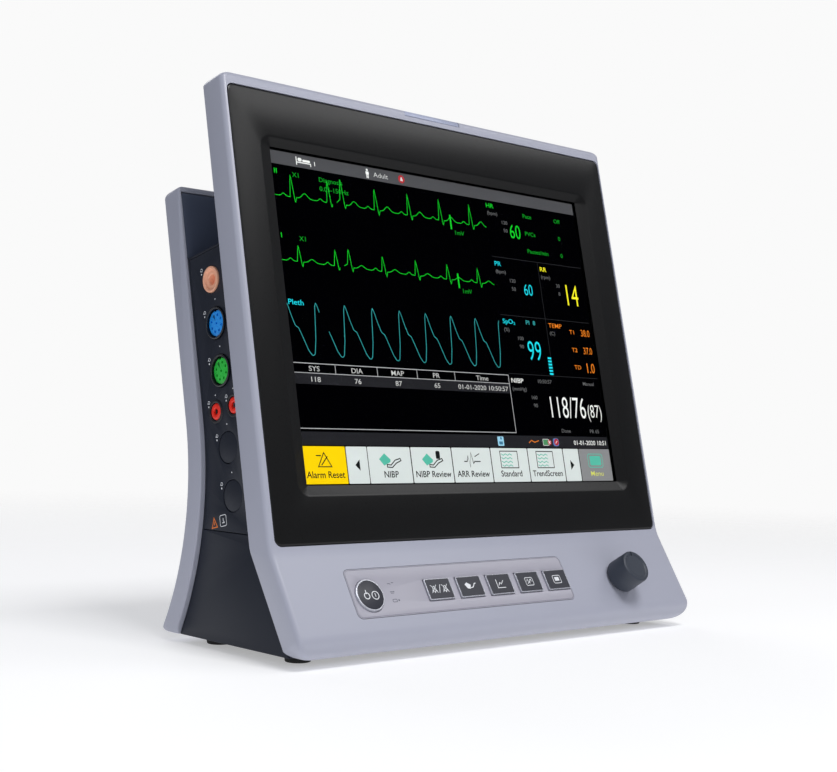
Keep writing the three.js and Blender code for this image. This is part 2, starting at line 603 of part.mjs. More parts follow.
// Distances below are measured inwards from the panel's outer face; negative is proud of it.
function portAt({ y, depth }, geometry, name, material) {
  add(slab, name, geometry, material).position.set(PANEL_X, y, -depth);
}
const behind = CONNECTOR.thick + GAP;
const [nibp, spo2, ecg, ibpRear, ibpFront, blankUpper, blankLower] = SOCKETS;

const hoseFitting = turnedAlongX([[3.6, 0], [3.6, 2.4], [1.4, 3.6], [-0.4, 5.4], [-0.8, 6.4],
  [-0.4, 7.2], [behind, 7.2], [behind, 9], [5, 9], [5, 4], [15, 4], [15, 0]]);
portAt(nibp, cut(hoseFitting, rodAlongX(1.5, -5, 20, 0, 0, 12)), 'nibp_port', peach);

function socketShell() {
  return turnedAlongX([[-0.8, 7.6], [-1.1, 8.1], [-0.8, CUP_RADIUS], [behind, CUP_RADIUS], [behind, 10.4],
    [5, 10.4], [5, CUP_RADIUS], [12, CUP_RADIUS], [12, 7.4], [10, 7.4], [10, 7.6]]);
}
const INSERT = { radius: 7.1, front: 0.2, back: 13.5, pinR: 0.75, pinDepth: 4, ringR: 4.6 };
function pinInsert() {
  const pin = (y, z) => rodAlongX(INSERT.pinR, 0, INSERT.pinDepth, y, z, 8);
  const holes = [pin(0, 0)];
  for (let i = 0; i < 8; i += 1) {
    const angle = i * Math.PI / 4 + Math.PI / 8;
    holes.push(pin(INSERT.ringR * Math.cos(angle), INSERT.ringR * Math.sin(angle)));
  }
  const keyway = block([-1, 6], [-0.9, 0.9], [6.3, 8]);
  return cut(rodAlongX(INSERT.radius, INSERT.front, INSERT.back), keyway, ...holes);
}
portAt(spo2, socketShell(), 'spo2_shell', navy);
portAt(spo2, pinInsert(), 'spo2_insert', portBlue);
portAt(ecg, socketShell(), 'ecg_shell', navy);
portAt(ecg, pinInsert(), 'ecg_insert', portGreen);

for (const [socket, name] of [[ibpRear, 'ibp_socket_rear'], [ibpFront, 'ibp_socket_front']]) {
  const body = turnedAlongX([[-0.7, 0], [-0.7, 3.4], [-0.2, 4.6], [behind, 4.6], [behind, 6], [5, 6],
    [5, 4], [13, 4], [13, 0]], 20);
  portAt(socket, cut(body, rodAlongX(2.3, -3, 5, 0, 0, 16)), name, portRed);
}
for (const [socket, name] of [[blankUpper, 'blank_plug_upper'], [blankLower, 'blank_plug_lower']]) {
  const body = turnedAlongX([[0.2, 0], [0.2, 8.1], [0.5, 8.4], [behind, 8.4], [behind, 9.6], [4.4, 9.6],
    [4.4, 0]]);
  portAt(socket, body, name, navy);
}

// ---- Boards and modules inside ----
const BOARD_THICK = 1.6;
add(slab, 'parameter_board', block([-129 - BOARD_THICK, -129], [-98, 36], [-54, -22]), boardGreen);
add(slab, 'chassis_plate', block([-125, 88], [-84, 37], [-21, -19.5]), silver);
add(slab, 'main_board', block([-118, 60], [-76, 32], [-25 - BOARD_THICK, -25]), boardGreen);

const SINK = { half: 28, length: 48, base: [-30, -27], finTips: -42, fins: 9, pitch: 6.5, finHalf: 1 };
function heatSink() {
  const along = across(SINK.length / 2);
  const fins = Array.from({ length: SINK.fins }, (_, i) => {
    const x = (i - (SINK.fins - 1) / 2) * SINK.pitch;
    return block([x - SINK.finHalf, x + SINK.finHalf], along, [SINK.finTips, SINK.base[0] + 2]);
  });
  return join(block(across(SINK.half), along, SINK.base), ...fins);
}
add(slab, 'heat_sink', heatSink(), silver).position.set(-40, -20, 0);

const PUMP = { y: 18, z: 30, headR: 13.5, motorR: 10, x: [-122, -84, -62] };
const pumpHead = rodAlongX(PUMP.headR, PUMP.x[0], PUMP.x[1], PUMP.y, PUMP.z);
const pumpMotor = rodAlongX(PUMP.motorR, PUMP.x[1], PUMP.x[2], PUMP.y, PUMP.z);
add(monitor, 'nibp_pump', join(pumpHead, pumpMotor), silver);
add(monitor, 'nibp_valve', join(block([-56, -40], [8, 26], [14, 36]), rod(3, 36, 44, -48, 17, 12)), brass);
add(monitor, 'power_supply', block([-34, 52], [-8, 38], [10, 42]), silver);

function speaker() {
  const frame = new THREE.LatheGeometry([[0, 0], [9, 0], [9, 6], [18, 10], [22, 10], [22, 12], [18, 12],
    [6, 8], [0, 8], [0, 0]].map(([r, h]) => new THREE.Vector2(r, h)), 24);
  return frame.rotateX(-Math.PI / 2);
}
add(slab, 'speaker', speaker(), rubberBlack).position.set(96, 16, -53.6);

// ---- Recorder: a housing in the right wall, a paper roll, a platen and a hinged door ----
function recorderHousing() {
  const side = [RECORDER.low + 0.4, RECORDER.high - 0.4];
  const [far, near] = [-RECORDER.far + 0.4, -RECORDER.near - 0.4];
  const shell = cut(block([96, MID.halfWidth - WALL - 0.7], side, [far, near]),
    block([98, 160], [side[0] + 2, side[1] - 2], [far + 2, near - 2]));
  return join(shell, rodAlongY(ROLL.coreR - 0.8, side[0] + 1.1, 14, ROLL.x, ROLL.z, 16));
}
add(slab, 'recorder_housing', recorderHousing(), navy);
const roll = rodAlongY(ROLL.radius, ROLL.low, ROLL.high, ROLL.x, ROLL.z, 32);
add(slab, 'paper_roll', cut(roll, rodAlongY(ROLL.coreR, -50, 30, ROLL.x, ROLL.z)), paper);
add(slab, 'thermal_head', block([128.5, 131.5], [-32, 13], [-33, -25.5]), silver);
const motorCan = block([130, 143], [16.6, 25.2], [-35, -23.4]);
const motorShaft = rodAlongY(PLATEN.boreR - GAP, 10, 17, PLATEN.x, PLATEN.z, 12);
add(slab, 'platen_motor', join(motorCan, motorShaft), silver);
const platen = rodAlongY(PLATEN.radius, PLATEN.low, PLATEN.high, PLATEN.x, PLATEN.z);
const platenBore = rodAlongY(PLATEN.boreR, 6, 20, PLATEN.x, PLATEN.z, 12);
add(slab, 'platen_roller', cut(platen, platenBore), rubberBlack);

// The door's hinge axis runs up its rear edge.
function recorderDoor() {
  const skin = block([MID.halfWidth - DOOR.thick, MID.halfWidth],
    [RECORDER.low + DOOR.gap, RECORDER.high - DOOR.gap],
    [-RECORDER.hingeDepth - 1.2, -RECORDER.near - 3.6]);
  const grip = block([MID.halfWidth - 0.2, MID.halfWidth + DOOR.grip], [-14, 4], [-28, -26]);
  return join(skin, grip);
}
add(slab, 'recorder_door', recorderDoor(), navy);
const releaseCap = block([MID.halfWidth - 3, MID.halfWidth + RELEASE.rise], [RELEASE.low, RELEASE.high],
  [-RELEASE.far, -RELEASE.near]);
const releaseLip = block([MID.halfWidth - 5, MID.halfWidth - 2.9], [RELEASE.low - 1, RELEASE.high + 0.8],
  [-RELEASE.far - 1, -RELEASE.near + 1]);
add(slab, 'recorder_release', join(releaseCap, releaseLip), keyDark);

// ---- Battery bay ----
add(monitor, 'battery_pack', block([62, 141], [-3, 37], [13.5, 48.5]), rubberBlack);
const batterySkin = block([MID.halfWidth - DOOR.thick, MID.halfWidth],
  [BATTERY.y0 + DOOR.gap, BATTERY.y1 - DOOR.gap], [BATTERY.z0 + DOOR.gap, BATTERY.z1 - DOOR.gap]);
const batteryGrip = block([MID.halfWidth - 0.2, MID.halfWidth + 1], [11, 23], [45, 47]);
add(monitor, 'battery_door', join(batterySkin, batteryGrip), navy);
const latchPlate = block([MID.halfWidth - 2.2, MID.halfWidth], [LATCH.y0, LATCH.y1], [LATCH.z0, LATCH.z1]);
const latchTab = block([MID.halfWidth - 0.2, MID.halfWidth + LATCH.rise], [12, 22], [56, 58]);
add(monitor, 'battery_latch', join(latchPlate, latchTab), keyDark);

// ---- Rear ports ----
// A port's box between two depths, drawn in by its wall or grown by a clearance.
function portBox({ x0, x1, z0, z1 }, y, shrink) {
  return block([x0 + shrink, x1 - shrink], y, [z0 + shrink, z1 - shrink]);
}

function portPanel() {
  const through = [0, 90];
  const skin = block([PORTS.x0 - 3, PORTS.x1 + 3], [PORTS.plateY - PORTS.plateThick, PORTS.plateY],
    [PORTS.z0 - 2, PORTS.z1 + 2]);
  return cut(skin, portBox(INLET, through, -GAP), portBox(LAN, through, -GAP),
    portBox(USB, through, -GAP), rodAlongY(POST.radius + GAP, ...through, POST.x, POST.z));
}
add(monitor, 'port_panel', portPanel(), navy);

function acInlet() {
  const body = portBox(INLET, [INLET.inner, PORTS.plateY + 0.5], 0);
  const well = portBox(INLET, [INLET.inner + 6, 90], INLET.wall);
  const [halfX, halfZ] = INLET.pinHalf;
  const pins = [[-76, 79], [-70, 85], [-64, 79]].map(([x, z]) =>
    block([x - halfX, x + halfX], [INLET.inner + 4, PORTS.plateY - 6], [z - halfZ, z + halfZ]));
  return join(cut(body, well), ...pins);
}
add(monitor, 'ac_inlet', acInlet(), rubberBlack);
const stud = rodAlongY(POST.radius, POST.inner, PORTS.plateY + POST.rise, POST.x, POST.z, 16);
const nut = rodAlongY(POST.nutR, PORTS.plateY + GAP, PORTS.plateY + 1.8, POST.x, POST.z, 6);
add(monitor, 'ground_post', join(stud, nut), brass);
const lanCan = portBox(LAN, [LAN.inner, PORTS.plateY + 0.6], 0);
add(monitor, 'lan_port', cut(lanCan, block([-18, -6], [LAN.inner + 6, 90], [77, 85.5])), silver);
const usbCan = cut(portBox(USB, [USB.inner, PORTS.plateY + 0.6], 0),
  portBox(USB, [USB.inner + 4, 90], USB.wall));
const usbTongue = block([14, 24], [USB.inner + 3, PORTS.plateY - 1], [82, 83.6]);
add(monitor, 'usb_port', join(usbCan, usbTongue), silver);

// ---- Feet ----
const FEET = [
  ['foot_front_left', -131, -24], ['foot_front_right', 131, -24],
  ['foot_rear_left', -131, 46], ['foot_rear_right', 131, 46]];
for (const [name, x, y] of FEET) {
  const tread = new THREE.CylinderGeometry(FOOT.topR, FOOT.bottomR, FOOT.height, 24).rotateX(Math.PI / 2);
  add(monitor, name, tread, rubberBlack).position.set(x, y, FOOT.height / 2);
}

export default monitor;
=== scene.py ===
"""The looks of a bedside patient monitor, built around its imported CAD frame.

Row frame: metres, X to the right of a person facing the screen, Y away from them, Z up.
Lengths below are millimetres and become metres in the matrices SLAB, PANEL and MONITOR.
"""

import cmath
import json
import math

import bmesh
import bpy
from mathutils import Matrix, Vector

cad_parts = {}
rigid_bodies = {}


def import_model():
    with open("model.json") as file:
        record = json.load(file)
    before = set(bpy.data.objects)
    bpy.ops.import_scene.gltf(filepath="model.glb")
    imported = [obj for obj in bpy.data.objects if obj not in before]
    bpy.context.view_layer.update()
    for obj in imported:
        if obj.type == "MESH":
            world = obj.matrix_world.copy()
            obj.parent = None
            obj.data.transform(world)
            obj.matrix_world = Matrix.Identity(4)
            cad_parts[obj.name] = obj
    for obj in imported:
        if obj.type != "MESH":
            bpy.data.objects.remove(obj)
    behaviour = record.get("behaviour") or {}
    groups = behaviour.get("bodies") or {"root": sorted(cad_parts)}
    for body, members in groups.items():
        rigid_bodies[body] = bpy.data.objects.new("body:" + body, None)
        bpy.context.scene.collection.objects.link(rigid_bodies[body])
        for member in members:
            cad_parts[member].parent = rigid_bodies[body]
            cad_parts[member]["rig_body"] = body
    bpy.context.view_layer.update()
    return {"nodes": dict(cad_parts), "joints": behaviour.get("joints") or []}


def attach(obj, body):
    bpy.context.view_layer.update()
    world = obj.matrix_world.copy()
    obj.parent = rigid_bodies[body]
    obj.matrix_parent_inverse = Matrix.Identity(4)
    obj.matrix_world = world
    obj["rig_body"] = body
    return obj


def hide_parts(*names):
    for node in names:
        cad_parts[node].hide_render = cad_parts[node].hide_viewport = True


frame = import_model()

MM = 0.001
X = Vector((1, 0, 0))
joints = {joint["name"]: joint for joint in frame["joints"]}


# ---------------- frames
def span(node, direction):
    """Lowest and highest place of a CAD node along a direction, in millimetres."""
    places = [v.co.dot(direction) / MM for v in frame["nodes"][node].data.vertices]
    return min(places), max(places)


def local_frame(origin, x, y, z):
    """Takes local millimetres to row-frame metres."""
    matrix = Matrix((x, y, z)).transposed().to_4x4()
    matrix.translation = origin
    return matrix @ Matrix.Scale(MM, 4)


# On the slab: x right, y up the screen, z out of the bezel's face, from the screen's centre.
UP = Vector(joints["recorder_door_hinge"]["axis"]).normalized()
OUT = X.cross(UP)
BEZEL_LOW, BEZEL_HIGH = span("display_bezel", UP)
SLAB_ORIGIN = (UP * (BEZEL_LOW + BEZEL_HIGH) / 2 + OUT * span("display_bezel", OUT)[1]) * MM
SLAB = local_frame(SLAB_ORIGIN, X, UP, OUT)

# On the key panel: y up the panel, z out of it, from the fold under the bezel.
KNOB = (96, -29)
PANEL_OUT = Vector(joints["knob_turn"]["axis"]).normalized()
PANEL_UP = PANEL_OUT.cross(X)
PANEL_ORIGIN = Vector(joints["knob_turn"]["pos_m"]) - (X * KNOB[0] + PANEL_UP * KNOB[1]) * MM
PANEL = local_frame(PANEL_ORIGIN, X, PANEL_UP, PANEL_OUT)

# Upright axes under the screen's centre.
MONITOR = Matrix.Translation((0, SLAB_ORIGIN.y, 0)) @ Matrix.Scale(MM, 4)
SCREEN_Z = SLAB_ORIGIN.z / MM

# ---------------- dimensions
GAP = 0.3
WALL = 2.5
BASE_Z = span("mid_housing", Vector((0, 0, 1)))[0]
SLAB_HALF = span("front_housing", X)[1]
SLAB_TOP = 131.5
SLAB_FOLD = -126.6
SLAB_THICK = 17.8
PANEL_THICK = 16.1
FOOT_THICK_AT_40 = 19.1
NOSE_R, HEEL_R, CORNER_R, SOLE = 8.5, 6, 12, 10
BEZEL_HALF = (span("display_bezel", X)[1], (BEZEL_HIGH - BEZEL_LOW) / 2)
BEZEL_THICK = 3
LCD_HALF = (122.88, 92.16)
SCREEN_DEPTH = -5.0
KEYS = [("alarm_mute_key", -51.8), ("cuff_key", -28.6), ("trend_key", -5.4),
        ("freeze_key", 17.8), ("menu_key", 41)]
KEY_Y = -27
KEY_HALF = (9.1, 6.1)
KEY_RISE = 1.2
POWER = (-100.5, -27.5, 9)
POWER_RISE = 1.3
OVERLAY = (-112.2, 51, -39.6, -12.2)
MID_HALF = span("mid_housing", X)[1]
REAR_HALF = span("rear_housing", X)[1]
REAR_TOP = 85.4
REAR_DEPTH = 70.4
REAR_THICK = 14
WAIST_V = -45.5
WAIST_R = 157
SLOT = (58, 48.5, 71)
PORTS = (-92, 52, 62, 102)
PORT_FACE = 49
TRAY_HALF = (128, 97)
LENS_HALF, LENS_LOW = 22.3, 127.1
KNOB_HOLE = 4.6
VENT_PITCH, VENT_WIDTH = 6, 2.6
SPEAKER_X, SPEAKER_R = 96, 20


# ---------------- side view
def slab_point(v, depth):
    """A side-view point y + zi, from its place up the slab and depth behind the bezel's face."""
    return complex(v * UP.y + depth * UP.z, SCREEN_Z + v * UP.z - depth * UP.y)


def panel_point(down, depth):
    fold = slab_point(SLAB_FOLD, 0)
    return fold + complex(-down * PANEL_OUT.z - depth * PANEL_OUT.y,
                          down * PANEL_OUT.y - depth * PANEL_OUT.z)


def crossing(a, b, c, d):
    """Where the line a-b meets the line c-d."""
    side = (b - a).conjugate() * (d - c)
    return a + (b - a) * ((c - a).conjugate() * (d - c)).imag / side.imag


def fillet(a, corner, b, radius, steps):
    """A round between the lines a-corner and corner-b."""
    to_a = (a - corner) / abs(a - corner)
    to_b = (b - corner) / abs(b - corner)
    half = abs(cmath.phase(to_a / to_b)) / 2
    middle = (to_a + to_b) / abs(to_a + to_b)
    centre = corner + middle * radius / math.sin(half)
    start = corner + to_a * radius / math.tan(half) - centre
    turn = math.copysign(math.pi - 2 * half, cmath.phase(to_a / to_b))
    return [centre + start * cmath.exp(1j * turn * i / steps) for i in range(steps + 1)]


WAIST = slab_point(WAIST_V, REAR_DEPTH + WAIST_R)


def waist_arc(radius, z_end, steps):
    """The waist's arc, from the straight part of the rear slab down to a height."""
    first = -math.asin(UP.y)
    last = math.asin((WAIST.imag - z_end) / radius)
    angles = [first + (last - first) * i / steps for i in range(steps + 1)]
    return [WAIST - radius * cmath.exp(1j * angle) for angle in angles]


# ---------------- meshes
def mesh_object(name, bm, matrix):
    bm.transform(matrix)
    bmesh.ops.recalc_face_normals(bm, faces=bm.faces)
    mesh = bpy.data.meshes.new(name)
    bm.to_mesh(mesh)
    bm.free()
    obj = bpy.data.objects.new(name, mesh)
    bpy.context.scene.collection.objects.link(obj)
    return obj


def skin(rings, closed=False):
    """Joins rings of equal length with quads; open ends get caps."""
    bm = bmesh.new()
    rows = [[bm.verts.new(p) for p in ring] for ring in rings]
    count = len(rings[0])
    pairs = list(zip(rows, rows[1:])) + ([(rows[-1], rows[0])] if closed else [])
    for low, high in pairs:
        for i in range(count):
            j = (i + 1) % count
            bm.faces.new((low[i], low[j], high[j], high[i]))
    if not closed:
        bm.faces.new(rows[0][::-1])
        bm.faces.new(rows[-1])
    return bm


def prism(outline, z0, z1):
    return skin([[(x, y, z) for x, y in outline] for z in (z0, z1)])


def rounded(x0, x1, y0, y1, radius, steps=6):
    """A rectangle's outline with round corners, counter-clockwise."""
    points = []
    for quarter, (cx, cy) in enumerate([(x1 - radius, y0 + radius), (x1 - radius, y1 - radius),
                                        (x0 + radius, y1 - radius), (x0 + radius, y0 + radius)]):
        for i in range(steps + 1):
            angle = (quarter - 1 + i / steps) * math.pi / 2
            points.append((cx + radius * math.cos(angle), cy + radius * math.sin(angle)))
    return points


def circle(cx, cy, radius, steps=32):
    angles = [2 * math.pi * i / steps for i in range(steps)]
    return [(cx + radius * math.cos(a), cy + radius * math.sin(a)) for a in angles]


def turned(profile, steps=64):
    """A turned piece about local Z, from a closed profile of (height, radius); radius 0 is the axis."""
    bm = bmesh.new()
    rows = []
    for height, radius in profile:
        if radius == 0:
            rows.append([bm.verts.new((0, 0, height))])
        else:
            rows.append([bm.verts.new((x, y, height)) for x, y in circle(0, 0, radius, steps)])
    closed = profile[0][1] > 0 and profile[-1][1] > 0
    for low, high in list(zip(rows, rows[1:])) + ([(rows[-1], rows[0])] if closed else []):
        for i in range(steps):
            j = (i + 1) % steps
            corners = [low[i % len(low)], low[j % len(low)], high[j % len(high)], high[i % len(high)]]
            unique = list(dict.fromkeys(corners))
            if len(unique) > 2:
                bm.faces.new(unique)
    return bm


def block(x, y, z):
    return prism([(x[0], y[0]), (x[1], y[0]), (x[1], y[1]), (x[0], y[1])], z[0], z[1])


def side_prism(points, x0, x1):
    """A side-view outline of y + zi points, drawn out from x0 to x1."""
    return skin([[(x, p.real, p.imag) for p in points] for x in (x0, x1)])


def applied(obj):
    """Applies the object's modifiers."""
    evaluated = obj.evaluated_get(bpy.context.evaluated_depsgraph_get())
    mesh = bpy.data.meshes.new_from_object(evaluated)
    obj.modifiers.clear()
    obj.data = mesh


def emptied(obj, *tools, operation="DIFFERENCE"):
    """Cuts the tools out of obj, or joins them to it, and removes them."""
    for tool in tools:
        cut = obj.modifiers.new("cut", "BOOLEAN")
        cut.operation = operation
        cut.solver = "EXACT"
        cut.object = tool
    applied(obj)
    for tool in tools:
        bpy.data.objects.remove(tool)


def carved(obj, cutters, operation="DIFFERENCE"):
    """Cuts each (mesh, matrix) out of obj, or joins it to obj."""
    tools = [mesh_object("cutter", bm, matrix) for bm, matrix in cutters]
    emptied(obj, *tools, operation=operation)


def shaded(obj, bevel=0.0, segments=2, angle=32):
    """Smooth shading that breaks at edges, with a small round on each sharp edge."""
    obj.data.shade_smooth()
    if bevel:
        edge = obj.modifiers.new("edge", "BEVEL")
        edge.width = bevel * MM
        edge.segments = segments
        edge.limit_method = "ANGLE"
        edge.angle_limit = math.radians(angle)
        edge.harden_normals = True
        edge.miter_outer = "MITER_ARC"
    else:
        obj.data.set_sharp_from_angle(angle=math.radians(angle))
    return obj


def dressed(obj, material, body, slot, *replaces):
    """Gives a piece its material, the body it rides on and the nodes it stands for; slot is not used."""
    obj.data.materials.clear()
    obj.data.materials.append(material)
    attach(obj, body)
    if replaces:
        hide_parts(*replaces)
    return obj


def painted(node, material):
    """Gives a CAD node, as it is, a material."""
    materials = frame["nodes"][node].data.materials
    materials.clear()
    materials.append(material)


def restyled(node, material, bevel, slot, segments=2):
    """A copy of a CAD node's own shape with its edges rounded."""
    source = frame["nodes"][node]
    bm = bmesh.new()
    bm.from_mesh(source.data)
    bmesh.ops.remove_doubles(bm, verts=bm.verts, dist=1e-6)
    bmesh.ops.dissolve_limit(bm, angle_limit=math.radians(0.4), verts=bm.verts, edges=bm.edges)
    obj = mesh_object(node + "_skin", bm, Matrix.Identity(4))
    shaded(obj, bevel, segments)
    return dressed(obj, material, source["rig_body"], slot, node)


# ---------------- materials
def colour(r, g, b):
    """Linear RGBA from display values of 0 to 255."""
    return tuple((v / 255 / 12.92) if v < 10.3 else ((v / 255 + 0.055) / 1.055) ** 2.4
                 for v in (r, g, b)) + (1,)


def put(node, **values):
    """Sets sockets of a shader node by name, with an underscore for each space."""
    for name, value in values.items():
        node.inputs[name.replace("_", " ")].default_value = value


def added(tree, kind, **values):
    """A new shader node with those sockets set."""
    node = tree.nodes.new("ShaderNode" + kind)
    put(node, **values)
    return node


def shaded_between(tree, low, high, factor):
    mix = added(tree, "Mix")
    mix.data_type = "RGBA"
    put(mix, A=low, B=high)
    tree.links.new(factor, mix.inputs["Factor"])
    return mix.outputs["Result"]


def noise(tree, scale, detail=3.0):
    place = added(tree, "TexCoord")
    texture = added(tree, "TexNoise", Scale=scale, Detail=detail)
    tree.links.new(place.outputs["Object"], texture.inputs["Vector"])
    return texture.outputs["Fac"]


def ranged(tree, value, low, high):
    """Spreads the middle of a noise over the range from low to high."""
    spread = added(tree, "MapRange", From_Min=0.3, From_Max=0.7, To_Min=low, To_Max=high)
    tree.links.new(value, spread.inputs["Value"])
    return spread.outputs["Result"]


def bumped(tree, shader, height, distance):
    bump = added(tree, "Bump", Distance=distance * MM)
    tree.links.new(height, bump.inputs["Height"])
    tree.links.new(bump.outputs["Normal"], shader.inputs["Normal"])


def moulded(name, rgb, roughness, grain=0.45, depth=0.012, mottle=0.04, metallic=0.0, specular=0.5):
    """Moulded or coated surface: a fine grain, a slow drift of tone and a varying gloss."""
    material = bpy.data.materials.new(name)
    material.use_nodes = True
    tree = material.node_tree
    shader = tree.nodes["Principled BSDF"]
    base = colour(*rgb)
    low = tuple(c * (1 - mottle) for c in base[:3]) + (1,)
    high = tuple(min(1, c * (1 + mottle)) for c in base[:3]) + (1,)
    drift = noise(tree, 22)
    tree.links.new(shaded_between(tree, low, high, drift), shader.inputs["Base Color"])
    texture = noise(tree, 1 / (grain * MM), 4)
    rough = ranged(tree, texture, roughness - 0.05, roughness + 0.05)
    tree.links.new(rough, shader.inputs["Roughness"])
    bumped(tree, shader, texture, depth)
    put(shader, Metallic=metallic, Specular_IOR_Level=specular)
    return material


def brushed(name, rgb, roughness, along=(1, 1, 60)):
    """Metal with fine drawn lines."""
    material = moulded(name, rgb, roughness, 1.2, 0.004, 0.08, metallic=1.0)
    tree = material.node_tree
    place = added(tree, "TexCoord")
    stretch = added(tree, "Mapping", Scale=along)
    lines = added(tree, "TexNoise", Scale=60)
    tree.links.new(place.outputs["Object"], stretch.inputs["Vector"])
    tree.links.new(stretch.outputs["Vector"], lines.inputs["Vector"])
    shader = tree.nodes["Principled BSDF"]
    tree.links.new(ranged(tree, lines.outputs["Fac"], roughness - 0.08, roughness + 0.1),
                   shader.inputs["Roughness"])
    return material


def lit(name, rgb):
    """Lit display colour over a darker matt ground of the same hue."""
    material = moulded(name, [v * 0.45 for v in rgb], 0.5, specular=0.0)
    put(material.node_tree.nodes["Principled BSDF"], Emission_Color=colour(*rgb), Emission_Strength=1.0)
    return material


def circuit(name):
    """Solder-masked board with a grid of tracks and pads."""
    material = moulded(name, (20, 84, 52), 0.35, 1.0, 0.01, 0.1)
    tree = material.node_tree
    shader = tree.nodes["Principled BSDF"]
    place = added(tree, "TexCoord")
    brick = added(tree, "TexBrick", Scale=90, Mortar_Size=0.06, Color1=colour(18, 78, 48),
                  Color2=colour(26, 98, 60), Mortar=colour(96, 150, 84))
    tree.links.new(place.outputs["Object"], brick.inputs["Vector"])
    tree.links.new(brick.outputs["Color"], shader.inputs["Base Color"])
    return material


def clear_glass(name):
    """Hard-coated touch glass with a faint smear in its gloss."""
    material = moulded(name, (250, 252, 255), 0.03, 30, 0.0005, 0.01)
    tree = material.node_tree
    shader = tree.nodes["Principled BSDF"]
    tree.links.new(ranged(tree, noise(tree, 14), 0.0, 0.01), shader.inputs["Roughness"])
    for link in list(shader.inputs["Normal"].links):
        tree.links.remove(link)
    put(shader, Transmission_Weight=1.0, IOR=1.015)
    return material


SHELL = moulded("shell_grey", (172, 174, 189), 0.36, 0.5, 0.008, 0.02)
BEZEL_BLACK = moulded("bezel_black", (8, 8, 9), 0.32, 0.4, 0.008, 0.05, specular=0.4)
NAVY = moulded("navy_plastic", (22, 28, 42), 0.5, 0.5, 0.012, 0.05, specular=0.35)
# The navy plastic painted lighter for the handle plate: painted light, standing in for light that reaches
# the slot between the slabs.
NAVY_PAINTED_LIGHTER = moulded("navy_painted_lighter", (84, 92, 112), 0.4, 0.5, 0.010, 0.05)
WARNING = moulded("warning_orange", (226, 116, 34), 0.45, 0.4, 0.004, 0.03)
GLASS = clear_glass("touch_glass")
CELL = moulded("lcd_black", (4, 4, 5), 0.4, 1.0, 0.002, 0.1, specular=0.2)
LENS = moulded("alarm_frost", (172, 178, 202), 0.3, 0.8, 0.01, 0.03)
FILM = moulded("overlay_film", (174, 172, 184), 0.4, 0.25, 0.006, 0.02)
FILM_LINE = moulded("overlay_line", (132, 132, 146), 0.4, 0.25, 0.004, 0.03)
KEY_TOP = moulded("key_top", (52, 53, 62), 0.38, 0.35, 0.008, 0.05)
KEY_RIM = moulded("key_rim", (200, 201, 210), 0.24, 0.6, 0.004, 0.03, 0.55)
PRINT = moulded("white_print", (236, 238, 242), 0.5, 0.3, 0.004, 0.02)
GREY_PRINT = moulded("grey_print", (96, 98, 110), 0.5, 0.3, 0.004, 0.03)
SLATE = moulded("knob_coating", (52, 58, 70), 0.5, 0.4, 0.014, 0.06)
DARK = moulded("dark_plastic", (44, 46, 54), 0.45, 0.45, 0.012, 0.05)
SHEET = brushed("sheet_metal", (188, 190, 196), 0.34)
SINK = brushed("heat_sink_metal", (150, 152, 158), 0.4, (60, 1, 1))
ZINC = brushed("plated_can", (186, 188, 192), 0.26)
GOLD = brushed("brass", (214, 174, 92), 0.28, (1, 1, 30))
BOARD = circuit("circuit_board")
PEACH = moulded("port_peach", (252, 184, 150), 0.34, 0.6, 0.006, 0.03)
BLUE = moulded("port_blue", (34, 156, 250), 0.3, 0.6, 0.006, 0.04)
GREEN = moulded("port_green", (44, 204, 70), 0.3, 0.6, 0.006, 0.04)
RED = moulded("port_red", (252, 40, 18), 0.3, 0.6, 0.006, 0.04)
SOCKET = moulded("socket_black", (22, 24, 30), 0.3, 0.5, 0.006, 0.06)
BLACK = moulded("black_moulding", (24, 24, 26), 0.5, 0.5, 0.012, 0.06)
PAPER = moulded("thermal_paper", (240, 240, 234), 0.75, 0.2, 0.01, 0.02)
RUBBER = moulded("rubber", (26, 26, 28), 0.75, 0.35, 0.02, 0.08)
CONE = moulded("speaker_cone", (20, 20, 22), 0.85, 0.3, 0.03, 0.1)


# ---------------- lofted shells
def inset(radius, distance):
    """How far a quarter round of that radius falls short of its edge, at a distance from its end."""
    if distance >= radius:
        return 0
    return radius - math.sqrt(max(0, radius ** 2 - (radius - distance) ** 2))


def slab_ring(front, back, half, front_edge, back_edge, steps=6):
    """One ring of a slab: a rounded rectangle from the front point to the back point."""
    length = abs(back - front)
    fit = min(1, 0.98 * length / (front_edge + back_edge))
    ring = []
    corners = [(1, front_edge * fit, False), (1, back_edge * fit, True),
               (-1, back_edge * fit, True), (-1, front_edge * fit, False)]
    for quarter, (side, radius, at_back) in enumerate(corners):
        for i in range(steps + 1):
            angle = (quarter - 1 + i / steps) * math.pi / 2
            depth = (length - radius if at_back else radius) + radius * math.sin(angle)
            point = front + (back - front) * depth / length
            ring.append((side * (half - radius) + radius * math.cos(angle), point))
    return ring


def lofted(front, back, half, front_edge, back_edge, squeeze):
    """A slab skinned from its top to its bottom; squeeze(point) draws its sides in at the corners."""
    rings = []
    for ahead, behind in zip(front, back):
        ring = slab_ring(ahead, behind, half, front_edge, back_edge)
        rings.append([(x * (1 - squeeze(p) / half), p.real, p.imag) for x, p in ring])
    return skin(rings)


